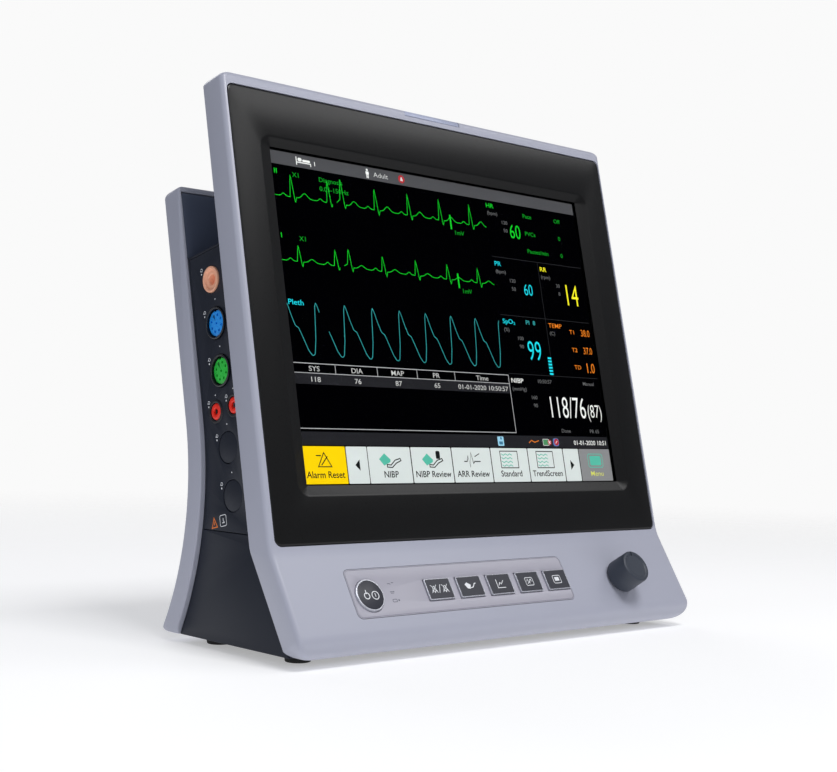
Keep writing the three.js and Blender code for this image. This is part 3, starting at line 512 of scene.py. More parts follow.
def front_shell():
    bottom = (panel_point(0, 0).imag - BASE_Z) / -PANEL_OUT.y
    flat = (complex(0, BASE_Z), complex(-50, BASE_Z))
    slab_back = (slab_point(0, SLAB_THICK), slab_point(-100, SLAB_THICK))
    panel_back = (panel_point(0, PANEL_THICK), panel_point(40, FOOT_THICK_AT_40))
    back_fold = crossing(*slab_back, *panel_back)
    back_foot = crossing(*panel_back, *flat)
    top_middle = slab_point(SLAB_TOP, SLAB_THICK / 2)
    top_front = slab_point(SLAB_TOP, 0)
    top_back = slab_point(SLAB_TOP, SLAB_THICK)
    fold = slab_point(SLAB_FOLD, 0)
    nose = panel_point(bottom, 0)
    sole = complex(nose.real + 0.755 * (back_foot.real - nose.real), BASE_Z)
    front = (fillet(top_middle, top_front, fold, 3.6, 8) + fillet(top_front, fold, nose, 30, 8)
             + fillet(fold, nose, sole, NOSE_R, 12))
    back = (fillet(top_middle, top_back, back_fold, 4, 8) + fillet(top_back, back_fold, back_foot, 16, 8)
            + fillet(back_fold, back_foot, sole, HEEL_R, 12))

    def squeeze(p):
        from_top = (top_front.imag - p.imag) / UP.z - (p.real - top_front.real) * UP.y
        return inset(7, from_top) + inset(CORNER_R, p.imag - BASE_Z)

    shell = mesh_object("front_shell", lofted(front, back, SLAB_HALF, 3.2, 1.2, squeeze), MONITOR)
    inside = (-SLAB_HALF + WALL, SLAB_HALF - WALL)
    pocket = (BEZEL_HALF[0] + GAP, BEZEL_HALF[1] + GAP)
    hollow = mesh_object("hollow", block(inside, (-70, 5.5), (-PANEL_THICK + WALL, -WALL)), PANEL)
    carved(hollow, [(block((-MID_HALF + WALL, MID_HALF - WALL), (-70, 5.5), (-30, -WALL - 1)), PANEL)],
           "UNION")
    carved(hollow, [(block((-200, 200), (-200, 200), (-60, BASE_Z + SOLE)), MONITOR)])
    emptied(shell, hollow)
    key_cuts = [(block((x - KEY_HALF[0] - GAP, x + KEY_HALF[0] + GAP),
                       (KEY_Y - KEY_HALF[1] - GAP, KEY_Y + KEY_HALF[1] + GAP), (-5, 2)), PANEL)
                for _, x in KEYS]
    outline = rounded(OVERLAY[0] - GAP, OVERLAY[1] + GAP, OVERLAY[2] - GAP, OVERLAY[3] + GAP, 3.3)
    carved(shell, [
        (prism(rounded(-pocket[0], pocket[0], -pocket[1], pocket[1], 4.3), -BEZEL_THICK - GAP, 5), SLAB),
        (block((-TRAY_HALF[0], TRAY_HALF[0]), (-TRAY_HALF[1], TRAY_HALF[1]), (-8, 1)), SLAB),
        (block(inside, (-123.5, SLAB_TOP - WALL), (-25, -BEZEL_THICK - GAP - WALL)), SLAB),
        (block((-LENS_HALF, LENS_HALF), (LENS_LOW, 134), (-7, 2)), SLAB),
        (prism(outline, -1.1, 2), PANEL),
        (prism(circle(POWER[0], POWER[1], POWER[2] + GAP, 64), -5, 2), PANEL),
        (prism(circle(KNOB[0], KNOB[1], KNOB_HOLE, 48), -5, 2), PANEL)] + key_cuts)
    shaded(shell, 0.3, 2, 40)
    dressed(shell, SHELL, "chassis", "shell_grey", "front_housing")


def rear_shell():
    front_depth = REAR_DEPTH - REAR_THICK
    steps = 28
    middle = slab_point(REAR_TOP, REAR_DEPTH - REAR_THICK / 2)
    back_arc = waist_arc(WAIST_R, BASE_Z, steps)
    front_arc = waist_arc(WAIST_R + REAR_THICK, BASE_Z, steps)
    sole = complex((back_arc[-1].real + front_arc[-1].real) / 2, BASE_Z)
    back = (fillet(middle, slab_point(REAR_TOP, REAR_DEPTH), back_arc[0], 4.5, 8) + back_arc[:-1]
            + fillet(back_arc[-2], back_arc[-1], sole, 2.5, 6))
    front = (fillet(middle, slab_point(REAR_TOP, front_depth), front_arc[0], 1, 8) + front_arc[:-1]
             + fillet(front_arc[-2], front_arc[-1], sole, 0.6, 6))
    top = slab_point(REAR_TOP, REAR_DEPTH)

    def squeeze(p):
        from_top = (top.imag - p.imag) * UP.z - (p.real - top.real) * UP.y
        return inset(5, max(0, from_top)) + inset(3, p.imag - BASE_Z)

    shell = mesh_object("rear_shell", lofted(front, back, REAR_HALF, 1, 3.2, squeeze), MONITOR)
    rim = 3.2
    cavity = mesh_object("cavity", side_prism(
        [slab_point(REAR_TOP - rim, 40), slab_point(REAR_TOP - rim, REAR_DEPTH - WALL)]
        + waist_arc(WAIST_R + WALL, BASE_Z + WALL, 16) + [complex(0, BASE_Z + WALL)],
        -REAR_HALF + rim, REAR_HALF - rim), MONITOR)
    carved(cavity, [
        (block((-SLOT[0] - WALL, SLOT[0] + WALL), (SLOT[1] - WALL, SLOT[2] + WALL),
               (-90, -front_depth - 3.2)), SLAB),
        (block((PORTS[0] - WALL, PORTS[1] + WALL), (PORT_FACE + GAP, 90),
               (PORTS[2] - WALL, PORTS[3] + WALL)), MONITOR)])
    emptied(shell, cavity)
    cutters = [
        (prism(rounded(-SLOT[0], SLOT[0], SLOT[1], SLOT[2], 9, 10), -90, -40), SLAB),
        (block(PORTS[:2], (PORT_FACE - 9, 90), PORTS[2:]), MONITOR)]
    for row in range(6):
        low, high = row * VENT_PITCH, row * VENT_PITCH + VENT_WIDTH
        half = SPEAKER_R * math.cos((row - 2.5) * 0.42)
        for left, right in ((-84, -8), (SPEAKER_X - half, SPEAKER_X + half)):
            cutters.append((prism(rounded(left, right, low, high, 1.25), -90, -60), SLAB))
    carved(shell, cutters)
    shaded(shell, 0.35, 2, 40)
    dressed(shell, SHELL, "chassis", "shell_grey", "rear_housing")


# ---------------- display
def display_bezel():
    """The black frame: a raised lip round its edge and a sloped window with round corners."""
    half_x, half_y = BEZEL_HALF
    window = (LCD_HALF[0] + 0.7, LCD_HALF[1] + 0.7)

    def loop(grow_x, grow_top, grow_bottom, radius, z):
        points = rounded(-grow_x, grow_x, -grow_bottom, grow_top, radius, 8)
        return [(x, y, z) for x, y in points]

    rings = [
        loop(half_x, half_y, half_y, 4, -BEZEL_THICK),
        loop(half_x, half_y, half_y, 4, -0.8),
        loop(half_x - 0.25, half_y - 0.25, half_y - 0.25, 3.8, -0.35),
        loop(half_x - 0.7, half_y - 0.7, half_y - 0.7, 3.5, -0.12),
        loop(half_x - 1.3, half_y - 1.3, half_y - 1.3, 3.2, 0),
        loop(LCD_HALF[0] + 9.2, LCD_HALF[1] + 6.2, LCD_HALF[1] + 7.2, 7.5, 0),
        loop(LCD_HALF[0] + 8.5, LCD_HALF[1] + 5.5, LCD_HALF[1] + 6.5, 7.0, -0.18),
        loop(LCD_HALF[0] + 7.7, LCD_HALF[1] + 4.9, LCD_HALF[1] + 5.8, 6.5, -0.55),
        loop(*window, window[1], 0.6, -BEZEL_THICK + 0.15),
        loop(*window, window[1], 0.6, -BEZEL_THICK)]
    bezel = shaded(mesh_object("bezel_frame", skin(rings, closed=True), SLAB), 0, angle=50)
    dressed(bezel, BEZEL_BLACK, "chassis", "bezel_black", "display_bezel")


# ---------------- flat ink
class Ink:
    """Flat marks of one colour, drawn in a local frame and kept as one thin solid piece."""

    def __init__(self, name, material, matrix, body, slot, lift=0.0, thick=0.03):
        self.name, self.material, self.matrix = name, material, matrix
        self.body, self.slot, self.lift, self.thick = body, slot, lift, thick
        self.bm = bmesh.new()

    def face(self, points):
        self.bm.faces.new([self.bm.verts.new((x, y, self.lift)) for x, y in points])

    def rect(self, x0, x1, y0, y1):
        self.face([(x0, y0), (x1, y0), (x1, y1), (x0, y1)])

    def line(self, points, width, closed=False):
        """A ribbon of even width along a line of points, with mitred joints."""
        pts = [complex(*p) for p in points]
        count = len(pts)
        sides = []
        for i, p in enumerate(pts):
            before = pts[i - 1] if i or closed else None
            after = pts[(i + 1) % count] if i + 1 < count or closed else None
            ways = [(b - a) / abs(b - a) for a, b in ((before, p), (p, after))
                    if a is not None and b is not None]
            mean = sum(ways) / abs(sum(ways)) if abs(sum(ways)) > 1e-6 else ways[0]
            stretch = min(1.8, 1 / max(0.2, (mean.conjugate() * ways[0]).real))
            offset = mean * 1j * width / 2 * stretch
            sides.append((p + offset, p - offset))
        rows = [[self.bm.verts.new((s.real, s.imag, self.lift)) for s in pair] for pair in sides]
        for (a, b), (c, d) in list(zip(rows, rows[1:])) + ([(rows[-1], rows[0])] if closed else []):
            self.bm.faces.new((a, b, d, c))

    def text(self, words, x, y, height, align="LEFT", squeeze=1.25, bold=0.004):
        """Words with capitals of that height; y is their middle."""
        data = bpy.data.curves.new("words", "FONT")
        data.body = words
        data.align_x = align
        data.resolution_u = 3
        data.offset = bold
        obj = bpy.data.objects.new("words", data)
        bpy.context.scene.collection.objects.link(obj)
        mesh = bpy.data.meshes.new_from_object(obj.evaluated_get(bpy.context.evaluated_depsgraph_get()))
        scale = height / CAPITAL
        place = (Matrix.Translation((x, y - height / 2, self.lift))
                 @ Matrix.Diagonal((scale * squeeze, scale, 1, 1)))
        mesh.transform(place)
        self.bm.from_mesh(mesh)
        bpy.data.objects.remove(obj)
        bpy.data.meshes.remove(mesh)

    def done(self):
        bmesh.ops.recalc_face_normals(self.bm, faces=self.bm.faces)
        for face in self.bm.faces:
            if face.normal.z < 0:
                face.normal_flip()
        obj = mesh_object(self.name, bmesh.new(), Matrix.Identity(4))
        self.bm.transform(self.matrix)
        self.bm.to_mesh(obj.data)
        self.bm.free()
        body = obj.modifiers.new("body", "SOLIDIFY")
        body.thickness = self.thick * MM
        body.offset = 1.0
        return dressed(obj, self.material, self.body, self.slot)


CAPITAL = 0.729  # height of the font's capitals at size 1
THIN = -0.006  # how much finer the big figures' strokes are than the font's


# ---------------- screen picture
SCREEN_W, SCREEN_H = 2 * LCD_HALF[0], 2 * LCD_HALF[1]
# On the screen: x right and y down from its top left corner, so heights are negative below.
SCREEN = SLAB @ Matrix.Translation((-LCD_HALF[0], LCD_HALF[1], SCREEN_DEPTH))
BEATS = [12.8, 38.3, 48.0, 72.9, 98.3, 123.4, 148.7]


def ecg(baseline, r_height, t_height, x_from, x_to):
    """Points of a heart trace: small P, sharp R, dip S and rounded T at each beat."""
    points = []
    x = x_from
    while x <= x_to:
        y = 0.0
        for beat in BEATS:
            d = x - beat
            y += 1.5 * math.exp(-((d + 6) / 1.5) ** 2)
            y += t_height * math.exp(-((d - 8.7) / 2.6) ** 2)
            y += r_height * max(0.0, 1 - abs(d) / 1.5)
            y -= 3.0 * max(0.0, 1 - abs(d - 1.9) / 0.9)
        points.append((x, -baseline + y))
        x += 0.35
    return points


def pleth(x_from, x_to):
    """Points of a pulse wave: a quick rise, a fall with a shoulder, and a round trough."""
    shape = [(0, 0), (0.06, 0.03), (0.14, 0.32), (0.22, 0.92), (0.26, 1), (0.31, 0.93), (0.40, 0.72),
             (0.50, 0.54), (0.60, 0.50), (0.68, 0.38), (0.85, 0.10), (0.95, 0.01), (1, 0)]
    points = []
    x = x_from
    while x <= x_to:
        t = (x + 5.0) / 20.13 % 1
        for (t0, y0), (t1, y1) in zip(shape, shape[1:]):
            if t0 <= t <= t1:
                blend = (t - t0) / (t1 - t0)
                points.append((x, -114.5 + 29.6 * (y0 + (y1 - y0) * blend)))
                break
        x += 0.3
    return points


def screen_ink(name, rgb, lift=0.02):
    return Ink("screen_" + name, lit("lit_" + name, rgb), SCREEN, "chassis", "lcd_face", lift, 0.02)


def screen_picture():
    black = screen_ink("black", (1, 1, 2), 0.0)
    black.rect(0, SCREEN_W, -SCREEN_H, 0)
    black.done()

    dim = screen_ink("dim_fill", (34, 34, 37))
    dim.rect(0, SCREEN_W, -163.2, -156)
    dim.rect(1, 162.8, -130.3, -124.4)
    dim.done()
    bar = screen_ink("status_bar", (76, 76, 78))
    bar.rect(0, SCREEN_W, -7.6, 0)
    bar.done()

    green = screen_ink("green", (20, 205, 40), 0.05)
    for baseline, r_height, t_height, label, label_y in (
            (25.7, 13.6, 3.0, "II", 11.6), (62.4, 9.6, 2.0, "I", 48.3)):
        for start, end in ((0.8, 41), (44, 162)):
            green.line(ecg(baseline, r_height, t_height, start, end), 0.36)
        green.text(label, 1.8, -label_y, 3.0)
        green.rect(131, 132.1, -baseline - 4.6, -baseline + 4.4)
    green.text("HR", 163.8, -10.8, 3.0)
    green.text("60", 182, -25.4, 9.6, "LEFT", 0.78, THIN)
    green.done()
    soft_green = screen_ink("soft_green", (16, 150, 34), 0.05)
    for words, x, y in (("X1", 14.3, 12.4), ("Diagnosis", 32.6, 12.7), ("0.05-150Hz", 32.6, 18),
                        ("X1", 14.3, 49), ("1mV", 133.4, 32), ("1mV", 133.4, 68.5),
                        ("Pace", 196, 14), ("Off", 225, 14), ("PVCs", 196, 25.7), ("0", 227, 25.7),
                        ("Pauses/min", 196, 37.2), ("0", 227, 37.2)):
        soft_green.text(words, x, -y, 2.8, "LEFT", 1.15)
    soft_green.done()

    cyan = screen_ink("cyan", (30, 214, 226), 0.05)
    for label in (("Pleth", 1.7, -85.4, 3.1), ("PR", 164.4, -48.2, 3.0), ("SpO", 164.6, -84.8, 3.0),
                  ("2", 173.9, -85.8, 1.9), ("60", 187.6, -62.9, 7.7, "LEFT", 0.78, THIN),
                  ("99", 183.2, -102.0, 13.0, "LEFT", 0.72, THIN)):
        cyan.text(*label)
    for step in range(6):
        cyan.rect(200.6, 203.8, -107.1 - 2.0 * step, -105.9 - 2.0 * step)
    cyan.done()
    teal = screen_ink("teal", (52, 160, 160), 0.05)
    for start, end in ((1.0, 22.6), (27.6, 161.6)):
        teal.line(pleth(start, end), 0.38)
    teal.text("PI  8", 185, -84.4, 2.8)
    teal.done()

    yellow = screen_ink("yellow", (250, 240, 40), 0.05)
    yellow.text("RR", 205, -48.2, 3.0)
    yellow.text("14", 224.2, -63, 14.8, "LEFT", 0.72, THIN)
    yellow.done()
    orange = screen_ink("orange", (224, 120, 30), 0.05)
    orange.text("TEMP", 205.6, -84.9, 3.0)
    for words, value, y, height in (
            ("T1", "38.0", 88, 4.6), ("T2", "37.0", 99.7, 4.6), ("TD", "1.0", 111, 6.6)):
        orange.text(words, 224.6, -y, 2.8)
        orange.text(value, 244, -y, height, "RIGHT", 0.8)
    orange.line([(173, -160.4), (175.4, -158.8), (178, -160), (181.8, -158.9)], 0.5)
    orange.done()

    white = screen_ink("white", (236, 236, 230), 0.05)
    for label in (("118/76", 229.6, -137.2, 14.2, "RIGHT", 0.65, THIN),
                  ("(87)", 244.6, -139.2, 8.8, "RIGHT", 0.72, THIN), ("NIBP", 164.8, -121.9, 3.0),
                  ("01-01-2020 10:51", 244.6, -159.8, 2.9, "RIGHT", 1.1), ("1", 30, -3.9, 2.6)):
        white.text(*label)
    bed_and_person(white)
    white.done()
    grey = screen_ink("grey_text", (190, 190, 186), 0.05)
    for words, x in (("SYS", 14.5), ("DIA", 44), ("MAP", 73.6), ("PR", 103.2), ("Time", 140.5)):
        grey.text(words, x, -121.6, 2.9, "CENTER")
    for words, x in (("118", 14.5), ("76", 44), ("87", 73.6), ("65", 103.2),
                     ("01-01-2020 10:50:57", 140.5)):
        grey.text(words, x, -127.5, 2.9, "CENTER")
    grey.text("Adult", 74, -3.9, 2.9)
    grey.done()
    lines = screen_ink("grey_lines", (176, 176, 176), 0.05)
    lines.line([(0.7, -118.9), (163, -118.9), (163, -154.3), (0.7, -154.3)], 0.4, closed=True)
    lines.line([(0.9, -124.2), (162.8, -124.2)], 0.35)
    for x in (29, 58.8, 88.5, 118.1):
        lines.line([(x, -119.1), (x, -124)], 0.35)
    lines.done()
    faint = screen_ink("faint", (96, 96, 96), 0.05)
    for words, x, y in (("(bpm)", 164.2, 15.6), ("120", 175.6, 20.6), ("50", 176.8, 25.8),
                        ("(bpm)", 164.6, 53.2), ("120", 175.6, 58.3), ("50", 176.8, 63.5),
                        ("(rpm)", 205.2, 53.2), ("30", 218.2, 58), ("8", 219.6, 63.2),
                        ("(%)", 164.8, 90), ("100", 175.6, 95), ("90", 176.8, 100.2), ("(C)", 205.8, 90),
                        ("10:50:57", 188, 121.6), ("Manual", 230, 121.6), ("(mmHg)", 165, 127),
                        ("160", 180.4, 132), ("90", 181.8, 137), ("Done", 203.6, 152.4),
                        ("PR 65", 230, 152.4)):
        faint.text(words, x, -y, 2.4, "LEFT", 1.15)
    faint.done()
    rules = screen_ink("rules", (38, 38, 40), 0.05)
    for y in (44, 81, 117.8):
        rules.line([(163.4, -y), (245.4, -y)], 0.35)
    rules.line([(203.6, -44), (203.6, -117.8)], 0.35)
    rules.done()
    status_icons()
    soft_keys()


def status_icons():
    """The silenced alarm above the traces, and the battery and mute signs under them."""
    red = screen_ink("red", (176, 44, 50), 0.05)
    for x, y, radius in ((95.6, -3.8, 2.5), (191.2, -159.9, 1.7), (197.4, -159.7, 2.1)):
        red.face(circle(x, y, radius, 18))
    red.done()
    battery = screen_ink("battery_green", (74, 140, 92), 0.045)
    battery.face(rounded(185.6, 190.4, -161.6, -158.2, 0.5, 3))
    battery.done()
    blue = screen_ink("blue_sign", (84, 118, 176), 0.045)
    blue.face(rounded(194.4, 199.6, -162.2, -157.4, 1.4, 4))
    blue.done()
    signs = screen_ink("sign_white", (220, 214, 214), 0.07)
    signs.face([(94.5, -4.9), (96.7, -4.9), (96.0, -2.6), (95.2, -2.6)])
    signs.line([(190.4, -160.7), (192.0, -159.1)], 0.5)
    signs.line([(190.4, -159.1), (192.0, -160.7)], 0.5)
    signs.line([(196.6, -160.5), (198.2, -158.9)], 0.5)
    signs.line(rounded(185.4, 190.6, -161.8, -158.0, 0.5, 3), 0.3, closed=True)
    signs.done()


def bed_and_person(ink):
    """The status bar's bed and standing figure."""
    ink.line([(18.4, -1.4), (18.4, -6.2)], 0.6)
    ink.line([(18.4, -4.6), (28.2, -4.6), (28.2, -6.2)], 0.6)
    ink.face(rounded(19.4, 22.2, -4.0, -1.9, 0.9, 3))
    ink.face(rounded(22.6, 28.0, -4.0, -2.6, 0.6, 3))
    ink.face(circle(69.4, -1.8, 0.75, 12))
    ink.face(rounded(68.2, 70.6, -4.6, -2.7, 0.5, 3))
    ink.rect(68.6, 69.25, -6.8, -4.5)
    ink.rect(69.55, 70.2, -6.8, -4.5)


def soft_keys():
    """The row of touch buttons along the bottom of the screen."""
    top, bottom = -163.8, -184.0
    face = screen_ink("button_face", (210, 216, 212))
    bounds = [(29.7, 44.2), (44.7, 75.5), (76.2, 106.9), (107.6, 138.4), (139.1, 169.9), (170.6, 201.4),
              (202.1, 216)]
    for x0, x1 in bounds:
        face.face(rounded(x0, x1, bottom, top, 0.5, 2))
    face.done()
    amber = screen_ink("amber", (247, 205, 8))
    amber.face(rounded(0.1, 29.1, bottom, top, 0.5, 2))
    amber.done()
    menu = screen_ink("menu_face", (132, 132, 132))
    menu.face(rounded(216.7, SCREEN_W - 0.1, bottom, top, 0.5, 2))
    menu.done()
    mint = screen_ink("mint", (84, 180, 156), 0.05)
    for x in (52.4, 84):
        mint.face([(x, -170.6), (x + 4, -167.4), (x + 8.2, -170.8), (x + 8, -172.2), (x + 3.2, -174.2)])
    for x in (147.5, 178.6):
        for row in range(4):
            y = -167.2 - row * 2.2
            mint.line([(x + 1.8 * i, y - (0.9 if i % 2 else 0)) for i in range(6)], 0.5)
    mint.face(rounded(226, 236.4, -174.2, -168.2, 1, 4))
    mint.line(rounded(224.4, 238, -175.4, -167, 1.6, 4), 0.5, closed=True)
    mint.done()
    dark = screen_ink("button_ink", (24, 26, 26), 0.06)
    for words, x in (("Alarm Reset", 14.5), ("NIBP", 60), ("NIBP Review", 91.5), ("ARR Review", 123),
                     ("Standard", 154.5), ("TrendScreen", 186)):
        dark.text(words, x, -178.9, 3.7, "CENTER", 1.0, 0.012)
    dark.face([(35.2, -173.9), (38.4, -170.8), (38.4, -177)])
    dark.face([(210.8, -173.9), (207.6, -170.8), (207.6, -177)])
    dark.line([(10, -174.8), (14.4, -167.2), (19, -174.8)], 0.6, closed=True)
    dark.line([(12.2, -174), (16.6, -169.2)], 0.6)
    dark.line([(9, -168.8), (12.4, -168.8)], 0.6)
    for x in (52.4, 84):
        dark.line([(x + 5.4, -173.6), (x + 8.2, -173.9), (x + 11.4, -171.2), (x + 15.2, -170.2),
                   (x + 15.8, -171.4), (x + 12.2, -172.8), (x + 9, -175.2), (x + 5.4, -175)], 0.6,
                  closed=True)
    dark.face(rounded(94.8, 98, -170.4, -165.8, 0.8, 3))
    dark.line([(116.6, -171.8), (119, -171.8), (120, -168.6), (121.2, -175), (122.6, -166.6), (124, -173),
               (125, -171.8), (129.8, -171.8)], 0.6)
    dark.line([(125.4, -169), (129.4, -167.2)], 0.5)
    for x in (146.6, 177.7):
        dark.line([(x, -165.6), (x + 14.6, -165.6), (x + 14.6, -175.6), (x, -175.6)], 0.55, closed=True)
    dark.done()
    pale = screen_ink("pale_yellow", (206, 208, 96), 0.06)
    pale.text("Menu", 231.2, -179.2, 3.2, "CENTER")
    pale.done()
    disk = screen_ink("light_blue", (150, 200, 220), 0.05)
    disk.face(rounded(146.3, 151.4, -162.4, -156.8, 0.5, 3))
    disk.done()
    label = screen_ink("disk_label", (62, 120, 150), 0.07)
    label.rect(147.4, 150.4, -161.6, -159.8)
    label.rect(148.6, 149.9, -158.6, -157.2)
    label.done()


def display_stack():
    display_bezel()
    screen_picture()
    painted("touch_panel", GLASS)


# ---------------- key panel
def panel_piece(name, bm, material, body, slot, bevel, *nodes):
    obj = shaded(mesh_object(name, bm, PANEL), bevel, 3)
    return dressed(obj, material, body, slot, *nodes)


def key_caps():
    """Each key: a bright cap with a dark sunk top and a white mark."""
    marks = {"alarm_mute_key": bell_marks, "cuff_key": cuff_mark, "trend_key": trend_mark,
             "freeze_key": freeze_mark, "menu_key": window_mark}
    for node, x in KEYS:
        half_x, half_y = KEY_HALF
        rim = mesh_object(node + "_cap", prism(
            rounded(x - half_x, x + half_x, KEY_Y - half_y, KEY_Y + half_y, 1.0), -5, KEY_RISE), PANEL)
        carved(rim, [(prism(rounded(x - half_x + 0.5, x + half_x - 0.5, KEY_Y - half_y + 0.5,
                                    KEY_Y + half_y - 0.5, 0.6), KEY_RISE - 0.3, KEY_RISE + 2), PANEL)])
        dressed(shaded(rim, 0.22, 3), KEY_RIM, node, "key_black", node)
        top = prism(rounded(x - half_x + 0.6, x + half_x - 0.6, KEY_Y - half_y + 0.6,
                            KEY_Y + half_y - 0.6, 0.5), KEY_RISE - 0.32, KEY_RISE)
        panel_piece(node + "_top", top, KEY_TOP, node, "key_black", 0.12)
        ink = Ink(node + "_mark", PRINT, PANEL, node, "key_black", KEY_RISE)
        marks[node](ink, x, KEY_Y)
        ink.done()


def bell(ink, x, y):
    """A bell with a crossing stroke, for silence."""
    outline = [(x - 1.7, y - 1.3), (x - 1.1, y - 0.5), (x - 0.9, y + 0.8), (x, y + 1.7), (x + 0.9, y + 0.8),
               (x + 1.1, y - 0.5), (x + 1.7, y - 1.3)]
    ink.line(outline, 0.32, closed=True)
    ink.face(circle(x, y - 1.9, 0.4, 10))
    for way in (-1, 1):
        ink.line([(x - way * 2.1, y - 2.2), (x + way * 2.1, y + 2.4)], 0.32)


def bell_marks(ink, x, y):
    bell(ink, x - 4, y)
    bell(ink, x + 4, y)
    ink.line([(x - 0.9, y - 2.4), (x + 0.9, y + 2.4)], 0.36)


def cuff_mark(ink, x, y):
    ink.face([(x - 4.2, y + 1.2), (x - 2.4, y + 2.4), (x + 0.2, y + 0.8), (x - 0.8, y - 1.6),
              (x - 2.8, y - 1.2)])
    ink.line([(x - 0.2, y - 1.0), (x + 1.6, y - 0.6), (x + 3.2, y + 1.4), (x + 4.3, y + 1.6)], 0.5)


def trend_mark(ink, x, y):
    ink.line([(x - 2.8, y + 2.8), (x - 2.8, y - 2.4), (x + 3.2, y - 2.4)], 0.42)
    ink.line([(x - 1.8, y - 1.0), (x - 0.4, y + 0.8), (x + 0.6, y - 0.2), (x + 2.6, y + 1.9)], 0.4)


def freeze_mark(ink, x, y):
    ink.line(rounded(x - 3, x + 3, y - 2.4, y + 2.4, 0.8, 3), 0.36, closed=True)
    ink.line([(x - 2.1, y), (x - 1, y + 1.4), (x, y - 1.3), (x + 1, y + 1.3), (x + 2.1, y)], 0.36)
    ink.line([(x - 1.9, y - 1.5), (x + 1.9, y + 1.5)], 0.3)


def window_mark(ink, x, y):
    ink.line(rounded(x - 3.1, x + 3.1, y - 2.4, y + 2.4, 0.8, 3), 0.36, closed=True)
    ink.face(rounded(x - 1.8, x + 1.8, y - 1.0, y + 1.4, 0.3, 2))


def power_button():
    x, y, radius = POWER
    at = PANEL @ Matrix.Translation((x, y, 0))
    high = POWER_RISE
    rim = turned([(-5, 0), (-5, radius), (high - 0.4, radius), (high - 0.1, radius - 0.15),
                  (high, radius - 0.4), (high - 0.05, radius - 0.75), (high - 0.35, radius - 0.85),
                  (high - 0.35, 0)], 96)
    dressed(shaded(mesh_object("power_button_rim", rim, at)), KEY_RIM, "power_button", "key_black",
            "power_button")
    top = turned([(high - 0.35, 0), (high - 0.35, radius - 0.9), (high - 0.1, radius - 0.95),
                  (high, radius - 1.15), (high, 0)], 96)
    dressed(shaded(mesh_object("power_button_top", top, at)), KEY_TOP, "power_button", "key_black")
    ink = Ink("power_button_mark", PRINT, PANEL, "power_button", "key_black", high)
    ink.line(circle(x - 2.6, y - 0.4, 1.7, 20), 0.5, closed=True)
    ink.line([(x - 2.6, y + 0.6), (x - 2.6, y + 2.9)], 0.5)
    ink.line(circle(x + 3.0, y - 0.4, 2.2, 24), 0.45, closed=True)
    ink.line([(x + 3.0, y - 1.2), (x + 3.0, y + 0.8)], 0.45)
    ink.done()


def control_knob():
    x, y = KNOB
    at = PANEL @ Matrix.Translation((x, y, 0))
    radius = span("control_knob", X)[1] - x
    top = 16.4
    profile = [(1.1, 0), (1.1, radius - 1.0), (1.3, radius - 0.5), (1.9, radius - 0.1),
               (3.0, radius), (top - 1.1, radius - 0.2), (top - 0.5, radius - 0.45),
               (top - 0.15, radius - 0.9), (top, radius - 1.5), (top - 0.05, radius - 2.2),
               (top - 0.25, radius - 2.7), (top - 0.55, radius - 3.1), (top - 0.75, 0)]
    knob = mesh_object("knob_cap", turned(profile, 96), at)
    carved(knob, [
        (block((-0.4, 0.4), (radius - 0.6, radius + 2), (4, top + 1)), at),
        (block((-0.4, 0.4), (radius - 3.4, radius + 2), (top - 0.9, top + 1)), at),
        (turned([(0, 0), (0, 3.3), (13, 3.3), (13, 0)], 48), at)])
    dressed(shaded(knob, 0, angle=28), SLATE, "knob", "knob_slate", "control_knob")


def overlay():
    restyled("key_overlay", FILM, 0.12, "overlay_film")
    x0, x1, y0, y1 = OVERLAY
    edge = Ink("overlay_outline", FILM_LINE, PANEL, "chassis", "overlay_film", 0.1)
    edge.line(rounded(x0 + 0.5, x1 - 0.5, y0 + 0.5, y1 - 0.5, 2.7, 6), 0.35, closed=True)
    edge.done()
    marks = Ink("indicator_marks", GREY_PRINT, PANEL, "chassis", "overlay_film", 0.1)
    marks.line([(-86, -21.5), (-84.4, -21.5), (-84.0, -22.1)], 0.35)
    marks.line([(-83.2, -21.1), (-81.6, -21.1)], 0.35)
    marks.line([(-86, -26.2), (-83, -26.2)], 0.4)
    marks.line([(-85.6, -27), (-83.4, -27)], 0.3)
    marks.line(rounded(-86, -83.2, -32, -30.5, 0.3, 2), 0.35, closed=True)
    marks.face(circle(-81.8, -31.2, 0.55, 12))
    marks.done()


def key_panel():
    overlay()
    key_caps()
    power_button()
    control_knob()


# ---------------- connector side
PORT_X = -MID_HALF
SOCKETS = {"nibp": (25.4, 36), "spo2": (0.9, 35.4), "ecg": (-25.2, 35.4), "ibp_rear": (-45.7, 43.4),
           "ibp_front": (-45.7, 27), "blank_upper": (-66.4, 36), "blank_lower": (-92.2, 36)}


def port_frame(key):
    """At a port's centre on the panel's face: z goes in, x towards the back, y up the slab."""
    y, depth = SOCKETS[key]
    turn = Matrix(((0, 0, 1, 0), (0, 1, 0, 0), (-1, 0, 0, 0), (0, 0, 0, 1)))
    return SLAB @ Matrix.Translation((PORT_X, y, -depth)) @ turn


def port_piece(name, key, bm, material, slot, *nodes):
    obj = shaded(mesh_object(name, bm, port_frame(key)), 0, angle=30)
    return dressed(obj, material, "chassis", slot, *nodes)


